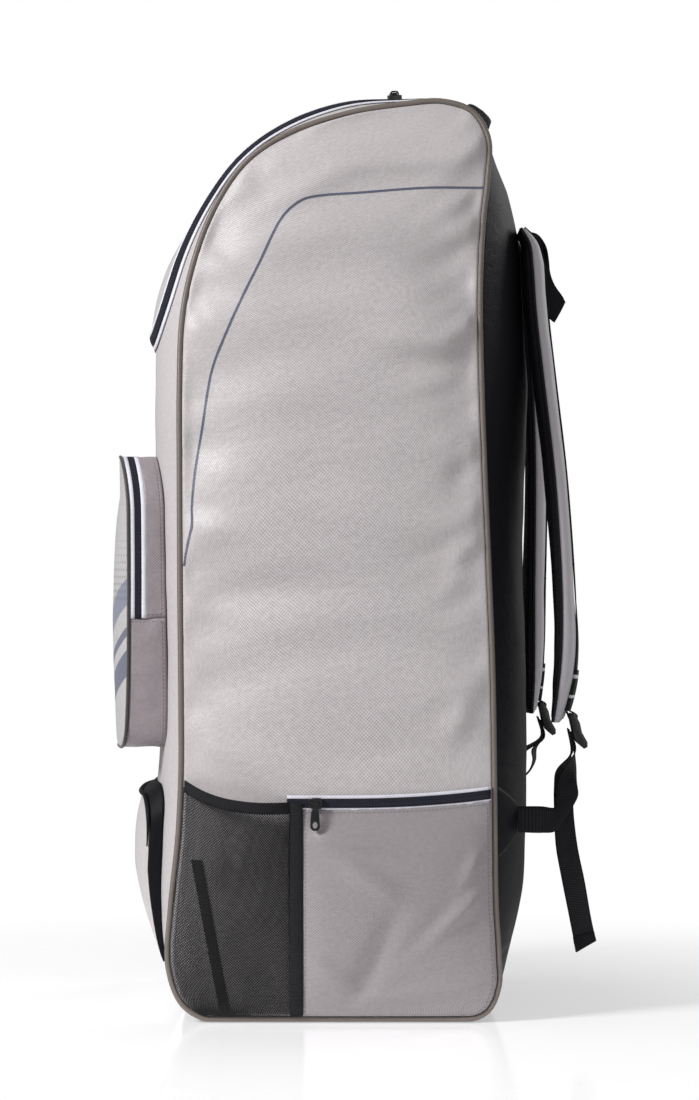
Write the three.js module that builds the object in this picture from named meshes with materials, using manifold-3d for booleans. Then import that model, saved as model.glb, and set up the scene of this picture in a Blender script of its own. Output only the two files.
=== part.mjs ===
// An upright soft kit bag with two shoulder straps. Millimetres, +Z up. The origin is the middle of the
// base, on the floor. The pockets face -Y, the padded back and its straps face +Y, and the side with two
// pockets faces +X.
//
// The shell is two side panels joined by a band of panels that runs round the bag: up the front, over the
// top, down the back and under the base. A place on the band is given by two lengths: along, from the toe
// round the seam, and across, from the middle of the bag. A third, lift, is the height over the cloth's
// outer face.

import * as THREE from 'three';
import { mergeVertices } from 'three/addons/utils/BufferGeometryUtils.js';
import Module from 'manifold-3d';

// Shell.
const HEIGHT = 940; // floor to the top of the side seams
const DEPTH = 336; // between the front and back seams, near the floor
const WIDTH = 340; // between the two side seams
const BAND_BULGE = 54; // most that the band stands out past the seams
const SIDE_BULGE = 20; // most that a side panel stands out past its seam
const CLOTH = 2; // coated body cloth and its backing
const PADDING = 8; // foam of the back panel
const PIPING = 6; // thickness of the corded seam
const GAP = 0.3; // left between pieces that touch
const SEAT = 0.9; // under what is sewn on the shell, whose curves are flat between their points
const TRIM = 1.4; // thickness of tapes, bindings and webbing

// Zips.
const TAPE = 6.5; // width of a zip's dark tape
const EDGE = 4.4; // width of a zip's white edges
const SLIDER_LENGTH = 15;
const SLIDER_WIDTH = 11;
const SLIDER_HEIGHT = 5;
const PULL_LENGTH = 31;
const PULL_WIDTH = 10;
const PULL_THICKNESS = 2.4;
const MAIN_ZIP_INSET = 35; // from the side seam to the main zip
const FLAP_DROP = 241; // from the top of the bag down to the main zip's foot
const MAIN_ZIP_RADIUS = 70;

// Front pocket.
const POCKET_FLOOR = 276; // height of its foot
const POCKET_HEIGHT = 304;
const POCKET_ZIP_FALL = 169; // from its top down its sides to the zip's ends
const POCKET_WIDTH = 240;
const POCKET_DEPTH = 38; // at its top
const POCKET_SAG = 6; // how much deeper it is at its foot
const POCKET_DOME = 10; // how far its face swells past its edge
const POCKET_HEAD_RADIUS = 60;
const POCKET_FOOT_RADIUS = 22;
const POCKET_PIPING = 3.4;

// Lower front pocket.
const LOWER_FLOOR = 57;
const LOWER_HEIGHT = 181;
const LOWER_WIDTH = 252;
const LOWER_DEPTH = 15;
const LOWER_DOME = 7;
const LOWER_RADIUS = 34;
const LOWER_LEAN = 13; // how far its top slopes forward and down
const LOWER_ROLL = 4.6; // thickness of the rolled edge along its top

// Side pockets, on the side that faces +X.
const MESH_HEIGHT = 226; // of the net pocket's top edge, beside the upright tape
const MESH_RISE = 21; // how much higher its top edge meets the front seam
const MESH_BULGE = 17;
const MESH = 1.2; // thickness of the net
const BINDING = 12; // width of the elastic binding over the net
const NET_TAPE = 13; // width of the upright tape between the two side pockets
const NET_TAPE_PLACE = -39; // of the tape's middle, from the middle of the bag towards the back
const COOL_BULGE = 9; // how far the zipped side pocket stands out over the side panel
const SIDE_ZIP_HEIGHT = 225;
const SIDE_ZIP_RISE = 9; // how much higher the side zip meets the back seam

// Straps.
const STRAP_WIDTH = 68;
const COVER = 13; // thickness of a shoulder strap's outer half
const LINING = 9; // thickness of its inner half
const WEBBING = 25; // width of the webbing
const TAB = 3; // thickness of the doubled webbing that holds a buckle
const BUCKLE_WIDTH = 32;
const BUCKLE_LENGTH = 38;
const BUCKLE_HEIGHT = 7;
const BUCKLE_BAR = 5;
const BUCKLE_SIDE = 2.8;
const BUCKLE_LEAN = 12; // degrees by which a buckle's lower end hangs outwards
const HANDLE_SPAN = 140; // between the ends of the top handle
const HANDLE_WIDTH = 34; // of its sewn ends
const HANDLE_GRIP = 19; // width of its folded middle
const HANDLE_THICKNESS = 6; // of its folded middle
const HANDLE_RISE = 11; // under its folded middle

// The side seam, as seen from the pocketed side, and how far the middle of the band stands out past it
// there. Depth is a share of DEPTH, height of HEIGHT and bulge of BAND_BULGE. A name marks where a piece
// begins or ends.
const SEAM = [
  { name: 'toe', depth: -0.461, height: 0.018, bulge: 0.13 },
  { depth: -0.506, height: 0.059, bulge: 0.15 },
  { depth: -0.5, height: 0.119, bulge: 0.4 },
  { depth: -0.476, height: 0.202, bulge: 0.61 },
  { depth: -0.467, height: 0.271, bulge: 0.57 },
  { depth: -0.467, height: 0.34, bulge: 0.52 },
  { depth: -0.47, height: 0.457, bulge: 0.54 },
  { depth: -0.472, height: 0.596, bulge: 0.59 },
  { depth: -0.472, height: 0.691, bulge: 0.61 },
  { depth: -0.464, height: 0.762, bulge: 0.61 },
  { depth: -0.435, height: 0.817, bulge: 0.52 },
  { depth: -0.372, height: 0.879, bulge: 0.28 },
  { name: 'crown', depth: -0.274, height: 0.932, bulge: 0.17 },
  { depth: -0.149, height: 0.963, bulge: 0.2 },
  { depth: 0.039, height: 0.986, bulge: 0.25 },
  { depth: 0.208, height: 0.996, bulge: 0.15 },
  { name: 'top_seam', depth: 0.327, height: 0.999, bulge: 0.08 },
  { name: 'shoulder', depth: 0.417, height: 0.988, bulge: 0.06 },
  { name: 'back_seam', depth: 0.464, height: 0.961, bulge: 0.07 },
  { depth: 0.463, height: 0.915, bulge: 0.48 },
  { depth: 0.449, height: 0.867, bulge: 0.8 },
  { depth: 0.44, height: 0.787, bulge: 0.94 },
  { depth: 0.445, height: 0.691, bulge: 1 },
  { depth: 0.455, height: 0.59, bulge: 0.89 },
  { depth: 0.467, height: 0.489, bulge: 0.8 },
  { depth: 0.479, height: 0.372, bulge: 0.78 },
  { depth: 0.485, height: 0.213, bulge: 0.74 },
  { depth: 0.488, height: 0.128, bulge: 0.63 },
  { name: 'kick_seam', depth: 0.497, height: 0.072, bulge: 0.35 },
  { depth: 0.497, height: 0.038, bulge: 0.15 },
  { name: 'heel', depth: 0.461, height: 0.011, bulge: 0.1 },
  { depth: 0.36, height: 0, bulge: 0.1 },
  { depth: 0, height: 0, bulge: 0.1 },
  { depth: -0.36, height: 0, bulge: 0.1 },
];
const SAMPLES = 12; // of the seam for each row
const SEAM_REST = PIPING / 2 + GAP; // height of the seam's middle where it lies on the floor
const BAND_EDGE = WIDTH / 2 - PIPING / 2 - GAP; // half the width of the band's cloth
const FLATNESS = 2.6; // of the band's bulge across the bag, on the front and back
const TOP_FLATNESS = 5; // added to it where the band faces up or down

const seam = new THREE.CatmullRomCurve3(
  SEAM.map((row) => new THREE.Vector3(row.bulge * BAND_BULGE, row.depth * DEPTH, row.height * HEIGHT)),
  true,
  'centripetal',
);
seam.arcLengthDivisions = SEAM.length * SAMPLES;
const seamLengths = seam.getLengths();
const LOOP = seamLengths[seamLengths.length - 1];

const mix = THREE.MathUtils.lerp;
const rowOf = (name) => SEAM.findIndex((row) => row.name === name);

// How far along the seam a row is, or a place between two rows.
function stationAt(row) {
  const place = row * SAMPLES;
  const before = Math.min(Math.floor(place), seamLengths.length - 2);
  return mix(seamLengths[before], seamLengths[before + 1], place - before);
}

// The seam's place in the YZ plane, its outward normal there and the band's bulge.
function seamAt(along) {
  const share = (((along % LOOP) + LOOP) % LOOP) / LOOP;
  const point = seam.getPointAt(share);
  const run = seam.getTangentAt(share);
  const normal = new THREE.Vector3(0, -run.z, run.y).normalize();
  return { y: point.y, z: Math.max(point.z, SEAM_REST), bulge: point.x, normal };
}

function bandPoint(along, across, lift) {
  const { y, z, bulge, normal } = seamAt(along);
  const flatness = FLATNESS + TOP_FLATNESS * normal.z ** 2;
  const share = Math.min(Math.abs(across) / BAND_EDGE, 1);
  const rise = bulge * (1 - share ** flatness) + lift;
  return new THREE.Vector3(across, y + normal.y * rise, Math.max(z + normal.z * rise, -lift, 0));
}

// How far along the band its front or back seam reaches a height.
function stationAtHeight(height, from, to) {
  let low = from;
  let high = to;
  for (let i = 0; i < 30; i += 1) {
    const middle = (low + high) / 2;
    const rising = seamAt(to).z > seamAt(from).z;
    if (seamAt(middle).z < height === rising) low = middle;
    else high = middle;
  }
  return (low + high) / 2;
}

const LAST_ROW = SEAM.length; // the toe again, after one turn
const TOE = stationAt(rowOf('toe'));
const CROWN = stationAt(rowOf('crown'));
const TOP_SEAM = stationAt(rowOf('top_seam'));
const SHOULDER = stationAt(rowOf('shoulder'));
const KICK_SEAM = stationAt(rowOf('kick_seam'));

// A closed mesh through rings of points. Each ring is an outer row followed by an inner row run
// backwards, so the ends close with strips between the two rows. Where a strip twists, matched splits its
// inner faces along the same lines as its outer ones, so that the two don't cross.
function loft(rings, loop = false, matched = false) {
  const size = rings[0].length;
  const positions = rings.flat().flatMap((point) => [point.x, point.y, point.z]);
  const faces = [];
  const quad = (a, b, c, d) => faces.push([a, b, c], [a, c, d]);
  for (let i = 0; i < rings.length - (loop ? 0 : 1); i += 1) {
    const next = (i + 1) % rings.length;
    for (let j = 0; j < size; j += 1) {
      const beside = (j + 1) % size;
      const corners = [i * size + j, i * size + beside, next * size + beside, next * size + j];
      if (matched && j >= size / 2) corners.unshift(corners.pop());
      quad(...corners);
    }
  }
  if (!loop) {
    const last = (rings.length - 1) * size;
    for (let j = 0; j < size / 2 - 1; j += 1) {
      quad(size - 1 - j, size - 2 - j, j + 1, j);
      quad(last + j, last + j + 1, last + size - 2 - j, last + size - 1 - j);
    }
  }
  const corner = (index) => new THREE.Vector3().fromArray(positions, index * 3);
  const volume = faces.reduce((sum, [a, b, c]) => sum + corner(a).dot(corner(b).cross(corner(c))), 0);
  if (volume < 0) faces.forEach((face) => face.reverse());
  const geometry = new THREE.BufferGeometry();
  geometry.setAttribute('position', new THREE.Float32BufferAttribute(positions, 3));
  geometry.setIndex(faces.flat());
  return geometry;
}

// A sheet of cloth over a grid. place(row, column, face) gives a point, with both shares from 0 to 1 and
// face 0 on the outer side or 1 on the inner.
function sheet(rows, columns, place, loop = false) {
  const rings = [];
  for (let i = 0; i < rows + (loop ? 0 : 1); i += 1) {
    const outer = [];
    const inner = [];
    for (let j = 0; j <= columns; j += 1) {
      outer.push(place(i / rows, j / columns, 0));
      inner.unshift(place(i / rows, j / columns, 1));
    }
    rings.push([...outer, ...inner]);
  }
  return loft(rings, loop);
}

// The named group that the pieces are gathered in.
const bag = new THREE.Group();
const MATERIALS = {
  body_cloth: { color: 0xc6c1bf, roughness: 0.72 },
  pocket_cloth: { color: 0x9c9491, roughness: 0.75 },
  gusset_cloth: { color: 0xa59b9e, roughness: 0.75 },
  pocket_print: { color: 0xb9b6b8, roughness: 0.7 },
  black_cloth: { color: 0x1d1d22, roughness: 0.8 },
  black_mesh: { color: 0x202024, roughness: 0.85 },
  strap_cloth: { color: 0x96939a, roughness: 0.75 },
  piping: { color: 0x6f6660, roughness: 0.5 },
  zip_tape: { color: 0x24252f, roughness: 0.7 },
  zip_edge: { color: 0xe9e9f2, roughness: 0.5 },
  webbing: { color: 0x1b1b1f, roughness: 0.8 },
  black_plastic: { color: 0x232326, roughness: 0.45 },
};

function add(name, material, geometry) {
  const mesh = new THREE.Mesh(
    geometry,
    new THREE.MeshStandardMaterial({ ...MATERIALS[material], metalness: 0 }),
  );
  mesh.name = name;
  bag.add(mesh);
}

// Shell

// A panel of the band between two rows of the seam, over its whole width. Its columns lie closer near the
// edges.
const COLUMN_TURN = 0.47 * Math.PI;
function bandPanel(fromRow, toRow, rows, columns, thickness) {
  const start = stationAt(fromRow) + GAP / 2;
  const end = stationAt(toRow) - GAP / 2;
  return sheet(rows, columns, (row, column, face) => {
    const across = (BAND_EDGE * Math.sin((2 * column - 1) * COLUMN_TURN)) / Math.sin(COLUMN_TURN);
    const along = THREE.MathUtils.clamp(stationAt(mix(fromRow, toRow, row)), start, end);
    return bandPoint(along, across, -face * thickness);
  });
}

// Where the edge of a side panel lies at a height, on the front or the back.
const seamOutline = Array.from(
  { length: LOOP / 4 },
  (_, i) => seamAt((i * 4 * LOOP) / (Math.floor(LOOP / 4) * 4)),
);
function edgeDepth(height, back) {
  let depth = back ? -Infinity : Infinity;
  seamOutline.forEach((here, i) => {
    const next = seamOutline[(i + 1) % seamOutline.length];
    if ((here.z - height) * (next.z - height) > 0 || here.z === next.z) return;
    const y = mix(here.y, next.y, (height - here.z) / (next.z - here.z));
    depth = back ? Math.max(depth, y) : Math.min(depth, y);
  });
  return depth;
}

// Dents and folds of the side panels: middle and half sizes as shares of DEPTH and HEIGHT, turned by a
// number of degrees from level, and how far the cloth rises or sinks as a share of SIDE_BULGE.
const SIDE_FOLDS = [
  { depth: 0.39, height: 0.79, length: 0.2, width: 0.035, turn: -50, rise: -0.3 },
  { depth: 0.33, height: 0.73, length: 0.22, width: 0.03, turn: -20, rise: 0.22 },
  { depth: -0.28, height: 0.475, length: 0.3, width: 0.018, turn: -6, rise: -0.2 },
  { depth: -0.25, height: 0.505, length: 0.24, width: 0.02, turn: -4, rise: 0.14 },
  { depth: -0.2, height: 0.275, length: 0.24, width: 0.03, turn: -14, rise: 0.25 },
  { depth: 0.1, height: 0.31, length: 0.3, width: 0.03, turn: 12, rise: -0.2 },
  { depth: 0.36, height: 0.27, length: 0.16, width: 0.05, turn: 55, rise: -0.25 },
];

function sideFolds(y, z) {
  return SIDE_FOLDS.reduce((sum, fold) => {
    const turn = THREE.MathUtils.degToRad(fold.turn);
    const dy = y - fold.depth * DEPTH;
    const dz = z - fold.height * HEIGHT;
    const lengthwise = (dy * Math.cos(turn) + dz * Math.sin(turn)) / (fold.length * DEPTH);
    const crosswise = (dz * Math.cos(turn) - dy * Math.sin(turn)) / (fold.width * HEIGHT);
    return sum + fold.rise * SIDE_BULGE * Math.exp(-(lengthwise ** 2 + crosswise ** 2));
  }, 0);
}

// How far the pocketed side panel's outer face is from the middle of the bag.
function sideFace(y, z) {
  const front = edgeDepth(z, false);
  const back = edgeDepth(z, true);
  const share = THREE.MathUtils.clamp((y - front) / (back - front), 0, 1);
  const fill = (1 - Math.abs(2 * share - 1) ** 2.6) * (1 - Math.abs((2 * z) / HEIGHT - 1) ** 6);
  return WIDTH / 2 + CLOTH / 2 + fill * (SIDE_BULGE + sideFolds(y, z));
}

const SIDE_ROWS = 20;
const SIDE_COLUMNS = 8;
const EDGE_INSET = PIPING / 2 + GAP;

// The edge of a side panel, a little inside the seam, and its four stretches, each by its share.
function insetSeam(along) {
  const { y, z, normal } = seamAt(along);
  return new THREE.Vector2(y - normal.y * EDGE_INSET, z - normal.z * EDGE_INSET);
}
const frontStation = (share) => stationAt(mix(rowOf('toe'), rowOf('crown'), share));
const backStation = (share) => stationAt(mix(rowOf('heel'), rowOf('shoulder'), share));
const topStation = (share) => stationAt(mix(rowOf('crown'), rowOf('shoulder'), share));
const baseStation = (share) => stationAt(mix(LAST_ROW, rowOf('heel'), share));

// A side panel's grid, stretched between its four edges.
function sideGrid(row, column) {
  const level = (share) => insetSeam(frontStation(share)).lerp(insetSeam(backStation(share)), column);
  const low = insetSeam(baseStation(column)).sub(level(0)).multiplyScalar(1 - row);
  const high = insetSeam(topStation(column)).sub(level(1)).multiplyScalar(row);
  return level(row).add(low).add(high);
}

function sidePanel(side) {
  return sheet(SIDE_ROWS, SIDE_COLUMNS, (row, column, face) => {
    const point = sideGrid(row, column);
    return new THREE.Vector3(side * (sideFace(point.x, point.y) - face * CLOTH), point.x, point.y);
  });
}

// The seam's stations, as many as the side panel has points along its edge.
const seamStations = [];
for (let i = 0; i < SIDE_ROWS; i += 1) seamStations.push(frontStation(i / SIDE_ROWS));
for (let i = 0; i < SIDE_COLUMNS; i += 1) seamStations.push(topStation(i / SIDE_COLUMNS));
for (let i = 0; i < SIDE_ROWS; i += 1) seamStations.push(backStation(1 - i / SIDE_ROWS));
for (let i = 0; i < SIDE_COLUMNS; i += 1) seamStations.push(baseStation(1 - i / SIDE_COLUMNS));

function seamPiping(side) {
  const sides = 5;
  return loft(seamStations.map((along) => {
    const { y, z, normal } = seamAt(along);
    return Array.from({ length: sides }, (_, i) => {
      const turn = ((i + 0.5) / sides) * Math.PI * 2;
      const out = (Math.cos(turn) * PIPING) / 2;
      return new THREE.Vector3(
        side * (WIDTH / 2 + (Math.sin(turn) * PIPING) / 2),
        y + normal.y * out,
        z + normal.z * out,
      );
    });
  }), true);
}

add('side_panel_right', 'body_cloth', sidePanel(1));
add('side_panel_left', 'body_cloth', sidePanel(-1));
add('piping_right', 'piping', seamPiping(1));
add('piping_left', 'piping', seamPiping(-1));
add('base_panel', 'black_cloth', bandPanel(rowOf('kick_seam'), LAST_ROW, 14, 6, CLOTH));
add('back_panel', 'black_cloth', bandPanel(rowOf('back_seam'), rowOf('kick_seam'), 18, 8, PADDING));
add('top_panel', 'body_cloth', bandPanel(rowOf('top_seam'), rowOf('back_seam'), 4, 8, CLOTH));

// A U on the band: from its open end along one side, round two corners and back. Its points are across
// and along, and steps holds how many it has down a side, round a corner and across its turn.
function uPath(open, turn, half, radius, steps) {
  const way = Math.sign(turn - open);
  const path = new THREE.Path();
  path.moveTo(half, open);
  path.lineTo(half, turn - way * radius);
  path.absarc(half - radius, turn - way * radius, radius, 0, (way * Math.PI) / 2, way < 0);
  path.lineTo(radius - half, turn);
  path.absarc(radius - half, turn - way * radius, radius, (way * Math.PI) / 2, way * Math.PI, way < 0);
  path.lineTo(-half, open);
  const { side, corner, across } = steps;
  const counts = [side, corner, across, corner, side];
  const stretches = path.curves.filter((curve) => curve.getLength() > GAP);
  return stretches.flatMap((curve, i) => curve.getPoints(counts[i]).slice(i === 0 ? 0 : 1));
}

// A strip along a path on the band. Its low and high edges are lifts, or functions that give them from
// along. With a second path for its high edge it leans.
function strip(path, offset, width, low, high, highPath = path) {
  const lift = (value, along) => (typeof value === 'function' ? value(along) : value);
  const corner = (points, i, shift, edge) => {
    const before = points[Math.max(i - 1, 0)];
    const after = points[Math.min(i + 1, points.length - 1)];
    const run = after.clone().sub(before).normalize();
    const across = points[i].x + run.y * shift;
    const along = points[i].y - run.x * shift;
    return bandPoint(along, across, lift(edge, along));
  };
  return loft(path.map((_, i) => [
    corner(path, i, offset - width / 2, low),
    corner(path, i, offset + width / 2, low),
    corner(highPath, i, offset + width / 2, high),
    corner(highPath, i, offset - width / 2, high),
  ]));
}

// Main zip

const MAIN_ZIP_FOOT = stationAtHeight(HEIGHT - FLAP_DROP, TOE, CROWN);
const MAIN_ZIP_HALF = WIDTH / 2 - MAIN_ZIP_INSET;
const ZIP_STEPS = { side: 11, corner: 4, across: 4 };
const EDGE_OFFSET = TAPE / 2 + GAP + EDGE / 2; // from the middle of a zip to the middle of its white edge
const ZIP_HALF = EDGE_OFFSET + EDGE / 2 + GAP; // from the middle of a zip to the cloth beside it

const wasm = await Module();
wasm.setup();

function toManifold(geometry) {
  const merged = mergeVertices(geometry);
  return new wasm.Manifold(new wasm.Mesh({
    numProp: 3,
    vertProperties: new Float32Array(merged.attributes.position.array),
    triVerts: new Uint32Array(merged.index.array),
  }));
}

function fromManifold(solid) {
  const mesh = solid.getMesh();
  const geometry = new THREE.BufferGeometry();
  geometry.setAttribute('position', new THREE.Float32BufferAttribute(mesh.vertProperties, 3));
  geometry.setIndex(Array.from(mesh.triVerts));
  return geometry;
}

const mainZip = uPath(TOP_SEAM - GAP, MAIN_ZIP_FOOT, MAIN_ZIP_HALF, MAIN_ZIP_RADIUS, ZIP_STEPS);
const beyondZip = (point) => new THREE.Vector2(point.x, TOP_SEAM + ZIP_HALF);
const mainSlot = [beyondZip(mainZip[0]), ...mainZip, beyondZip(mainZip[mainZip.length - 1])];
const slot = toManifold(strip(mainSlot, 0, 2 * ZIP_HALF, -3 * CLOTH, 3 * CLOTH));
const front = toManifold(bandPanel(rowOf('toe'), rowOf('top_seam'), 26, 8, CLOTH));
const frontPieces = front.subtract(slot).decompose();
const reach = (solid) => solid.boundingBox().max[0];
frontPieces.sort((a, b) => reach(b) - reach(a));
add('front_panel', 'body_cloth', fromManifold(frontPieces[0]));
add('main_flap', 'body_cloth', fromManifold(frontPieces[1]));

add('main_zip_tape', 'zip_tape', strip(mainZip, 0, TAPE, -TRIM, 0.2));
add('main_zip_edge_outer', 'zip_edge', strip(mainZip, EDGE_OFFSET, EDGE, -TRIM, 0.5));
add('main_zip_edge_inner', 'zip_edge', strip(mainZip, -EDGE_OFFSET, EDGE, -TRIM, 0.5));

// A cord along a path on the band, at a lift that follows along. Its points go round the path's own line.
function cordOnBand(path, radius, lift, closed) {
  const sides = 5;
  const last = path.length - 1;
  return loft(path.map((point, i) => {
    const before = closed ? path[(i + last) % path.length] : path[Math.max(i - 1, 0)];
    const after = closed ? path[(i + 1) % path.length] : path[Math.min(i + 1, last)];
    const run = after.clone().sub(before).normalize();
    return Array.from({ length: sides }, (_, j) => {
      const turn = ((j + 0.5) / sides) * Math.PI * 2;
      const beside = Math.cos(turn) * radius;
      const above = Math.sin(turn) * radius;
      return bandPoint(point.y - run.x * beside, point.x + run.y * beside, lift(point.y) + above);
    });
  }), closed);
}

// Half the width of an outline with rounded corners, at a place between its foot and its head.
function roundedHalf(along, foot, head, half, footRadius, headRadius) {
  const cut = (distance, radius) => {
    const short = Math.max(radius - Math.max(distance, 0), 0);
    return radius - Math.sqrt(radius ** 2 - short ** 2);
  };
  return half - cut(along - foot, footRadius) - cut(head - along, headRadius);
}

// Shares from 0 to 1 that lie closer together near both ends.
const eased = (share) => (1 - Math.cos(Math.PI * share)) / 2;

// Front pocket

const POCKET_FOOT = stationAtHeight(POCKET_FLOOR, TOE, CROWN);
const POCKET_HEAD = stationAtHeight(POCKET_FLOOR + POCKET_HEIGHT, TOE, CROWN);
const POCKET_SEAM = stationAtHeight(POCKET_FLOOR + POCKET_HEIGHT - POCKET_ZIP_FALL, TOE, CROWN);
const pocketShare = (along) => (along - POCKET_FOOT) / (POCKET_HEAD - POCKET_FOOT);
const pocketDepth = (along) => POCKET_DEPTH + POCKET_SAG * (1 - pocketShare(along)) ** 2;
const zipFront = (along) => pocketDepth(along) - POCKET_PIPING / 2 - GAP;
const zipMiddle = (along) => zipFront(along) - EDGE - GAP;
const zipBack = (along) => zipMiddle(along) - TAPE - GAP;
const gussetFront = (along) => zipBack(along) - EDGE - GAP;

const POCKET_STEPS = { side: 3, corner: 5, across: 4 };
const pocketHalf = POCKET_WIDTH / 2;
const pocketTop = uPath(POCKET_SEAM + GAP / 2, POCKET_HEAD, pocketHalf, POCKET_HEAD_RADIUS, POCKET_STEPS);
const pocketBase = uPath(POCKET_SEAM - GAP / 2, POCKET_FOOT, pocketHalf, POCKET_FOOT_RADIUS, POCKET_STEPS);
add('front_pocket_gusset', 'gusset_cloth', strip(pocketTop, 0, CLOTH, SEAT, gussetFront));
add(
  'front_pocket_zip_edge_inner', 'zip_edge',
  strip(pocketTop, 0, TRIM, (at) => zipBack(at) - EDGE, zipBack),
);
add('front_pocket_zip_tape', 'zip_tape', strip(pocketTop, 0, TRIM, (at) => zipMiddle(at) - TAPE, zipMiddle));
add(
  'front_pocket_zip_edge_outer', 'zip_edge',
  strip(pocketTop, 0, TRIM, (at) => zipFront(at) - EDGE, zipFront),
);
add('front_pocket_base_gusset', 'gusset_cloth', strip(pocketBase, 0, CLOTH, SEAT, zipFront));

const pocketOutline = [...pocketTop, ...pocketBase.slice(1, -1).reverse()];
add('front_pocket_piping', 'piping', cordOnBand(pocketOutline, POCKET_PIPING / 2, pocketDepth, true));

// A pocket's face: a sheet inside its outline that swells where bump is more than 0.
function pocketFace(outline, rows, columns, depth, bump) {
  return sheet(rows, columns, (row, column, face) => {
    const along = mix(outline.foot, outline.head, eased(row));
    const { foot, head, footRadius, headRadius } = outline;
    const half = roundedHalf(along, foot, head, outline.half, footRadius, headRadius);
    const share = 2 * eased(column) - 1;
    const swell = bump(row) * (1 - Math.abs(share) ** FLATNESS);
    return bandPoint(along, half * share, depth(along) + swell + CLOTH / 2 - face * CLOTH);
  });
}

const FACE_INSET = POCKET_PIPING / 2 + 4 * GAP;
const pocketFaceOutline = {
  foot: POCKET_FOOT + FACE_INSET,
  head: POCKET_HEAD - FACE_INSET,
  half: pocketHalf - FACE_INSET,
  footRadius: POCKET_FOOT_RADIUS - FACE_INSET,
  headRadius: POCKET_HEAD_RADIUS - FACE_INSET,
};
const pocketBump = (row) => POCKET_DOME * Math.sin(Math.PI * Math.min(eased(row) / 0.86, 1)) ** 0.7;
add('front_pocket_face', 'pocket_print', pocketFace(pocketFaceOutline, 12, 6, pocketDepth, pocketBump));

// Lower front pocket

const LOWER_FOOT = stationAtHeight(LOWER_FLOOR, TOE, CROWN);
const LOWER_HEAD = stationAtHeight(LOWER_FLOOR + LOWER_HEIGHT, TOE, CROWN);
const lowerShare = (along) => (along - LOWER_FOOT) / (LOWER_HEAD - LOWER_FOOT);
const LOWER_LEAST = CLOTH + SEAT; // its depth at its foot, where it is sewn down
const lowerDepth = (along) => mix(LOWER_LEAST, LOWER_DEPTH, Math.min(2 * lowerShare(along), 1) ** 0.8);
const lowerHalf = LOWER_WIDTH / 2;
const LOWER_STEPS = { side: 5, corner: 3, across: 4 };
const lowerSeam = uPath(LOWER_FOOT, LOWER_HEAD, lowerHalf, LOWER_RADIUS, LOWER_STEPS);
const lowerRim = uPath(LOWER_FOOT, LOWER_HEAD - LOWER_LEAN, lowerHalf, LOWER_RADIUS, LOWER_STEPS);
add('lower_pocket_band', 'black_cloth', strip(lowerSeam, 0, CLOTH, SEAT, lowerDepth, lowerRim));

const LOWER_INSET = CLOTH / 2 + 2 * GAP;
const lowerFaceOutline = {
  foot: LOWER_FOOT,
  head: LOWER_HEAD - LOWER_LEAN - LOWER_INSET,
  half: lowerHalf - LOWER_INSET,
  footRadius: 0,
  headRadius: LOWER_RADIUS - LOWER_INSET,
};
const lowerBump = (row) => LOWER_DOME * Math.sin(Math.PI * eased(row));
const lowerFaceDepth = (along) => lowerDepth(along) - CLOTH / 2;
add('lower_pocket_face', 'body_cloth', pocketFace(lowerFaceOutline, 10, 6, lowerFaceDepth, lowerBump));

const rollPath = lowerRim.filter((point) => Math.abs(point.x) <= lowerHalf - LOWER_RADIUS);
const rollLift = (along) => lowerDepth(along) + LOWER_ROLL / 2 + GAP;
add('lower_pocket_edge', 'black_cloth', cordOnBand(rollPath, LOWER_ROLL / 2, rollLift, false));

// Side pockets

// A point over the pocketed side panel.
const sidePoint = (y, z, lift) => new THREE.Vector3(sideFace(y, z) + lift, y, z);
const POCKET_INSET = PIPING / 2 + 4 * GAP; // from the side seam to a pocket's edge
function insetEdge(z, back) {
  const inward = back ? -1 : 1;
  const spots = [-60, -30, 0, 30, 60].map((degrees) => {
    const turn = THREE.MathUtils.degToRad(degrees);
    return edgeDepth(z + Math.sin(turn) * POCKET_INSET, back) + inward * Math.cos(turn) * POCKET_INSET;
  });
  return back ? Math.min(...spots) : Math.max(...spots);
}
const sideFrontEdge = (z) => insetEdge(z, false);
const sideBackEdge = (z) => insetEdge(z, true);
const SIDE_FLOOR = SEAM_REST + POCKET_INSET;
const TAPE_FRONT = NET_TAPE_PLACE - NET_TAPE / 2;
const TAPE_BACK = NET_TAPE_PLACE + NET_TAPE / 2;

const zipLine = (y) => SIDE_ZIP_HEIGHT + SIDE_ZIP_RISE * Math.max(y / (DEPTH / 2), 0) ** 2.5;

// The net pocket stands off the side panel, most near its open top. share runs from the front seam to the
// tape.
const netTop = (share) => MESH_HEIGHT + MESH_RISE * (1 - share) ** 3;
const NET_SEAT = SEAT + TRIM + GAP; // lets the band under the net pass
function netPoint(share, z, lift) {
  const y = mix(sideFrontEdge(z), TAPE_FRONT - GAP, share);
  const rise = THREE.MathUtils.clamp((z - SIDE_FLOOR) / (netTop(share) - SIDE_FLOOR), 0, 1);
  const stand = MESH_BULGE * (1 - Math.abs(2 * share - 1) ** 2.4) * rise ** 0.7;
  return sidePoint(y, z, NET_SEAT + stand + lift);
}
add('mesh_pocket', 'black_mesh', sheet(8, 7, (row, column, face) => (
  netPoint(column, mix(SIDE_FLOOR, netTop(column) - BINDING - GAP, row), MESH - face * MESH)
)));
add('mesh_pocket_binding', 'black_cloth', sheet(1, 7, (row, column, face) => (
  netPoint(column, netTop(column) - BINDING * (1 - row), CLOTH - face * CLOTH)
)));
const netTapeTop = zipLine(NET_TAPE_PLACE) - ZIP_HALF;
add('mesh_pocket_tape', 'black_cloth', sheet(8, 1, (row, column, face) => (
  sidePoint(mix(TAPE_FRONT, TAPE_BACK, column), mix(SIDE_FLOOR, netTapeTop, row), SEAT + CLOTH * (1 - face))
)));

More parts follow.
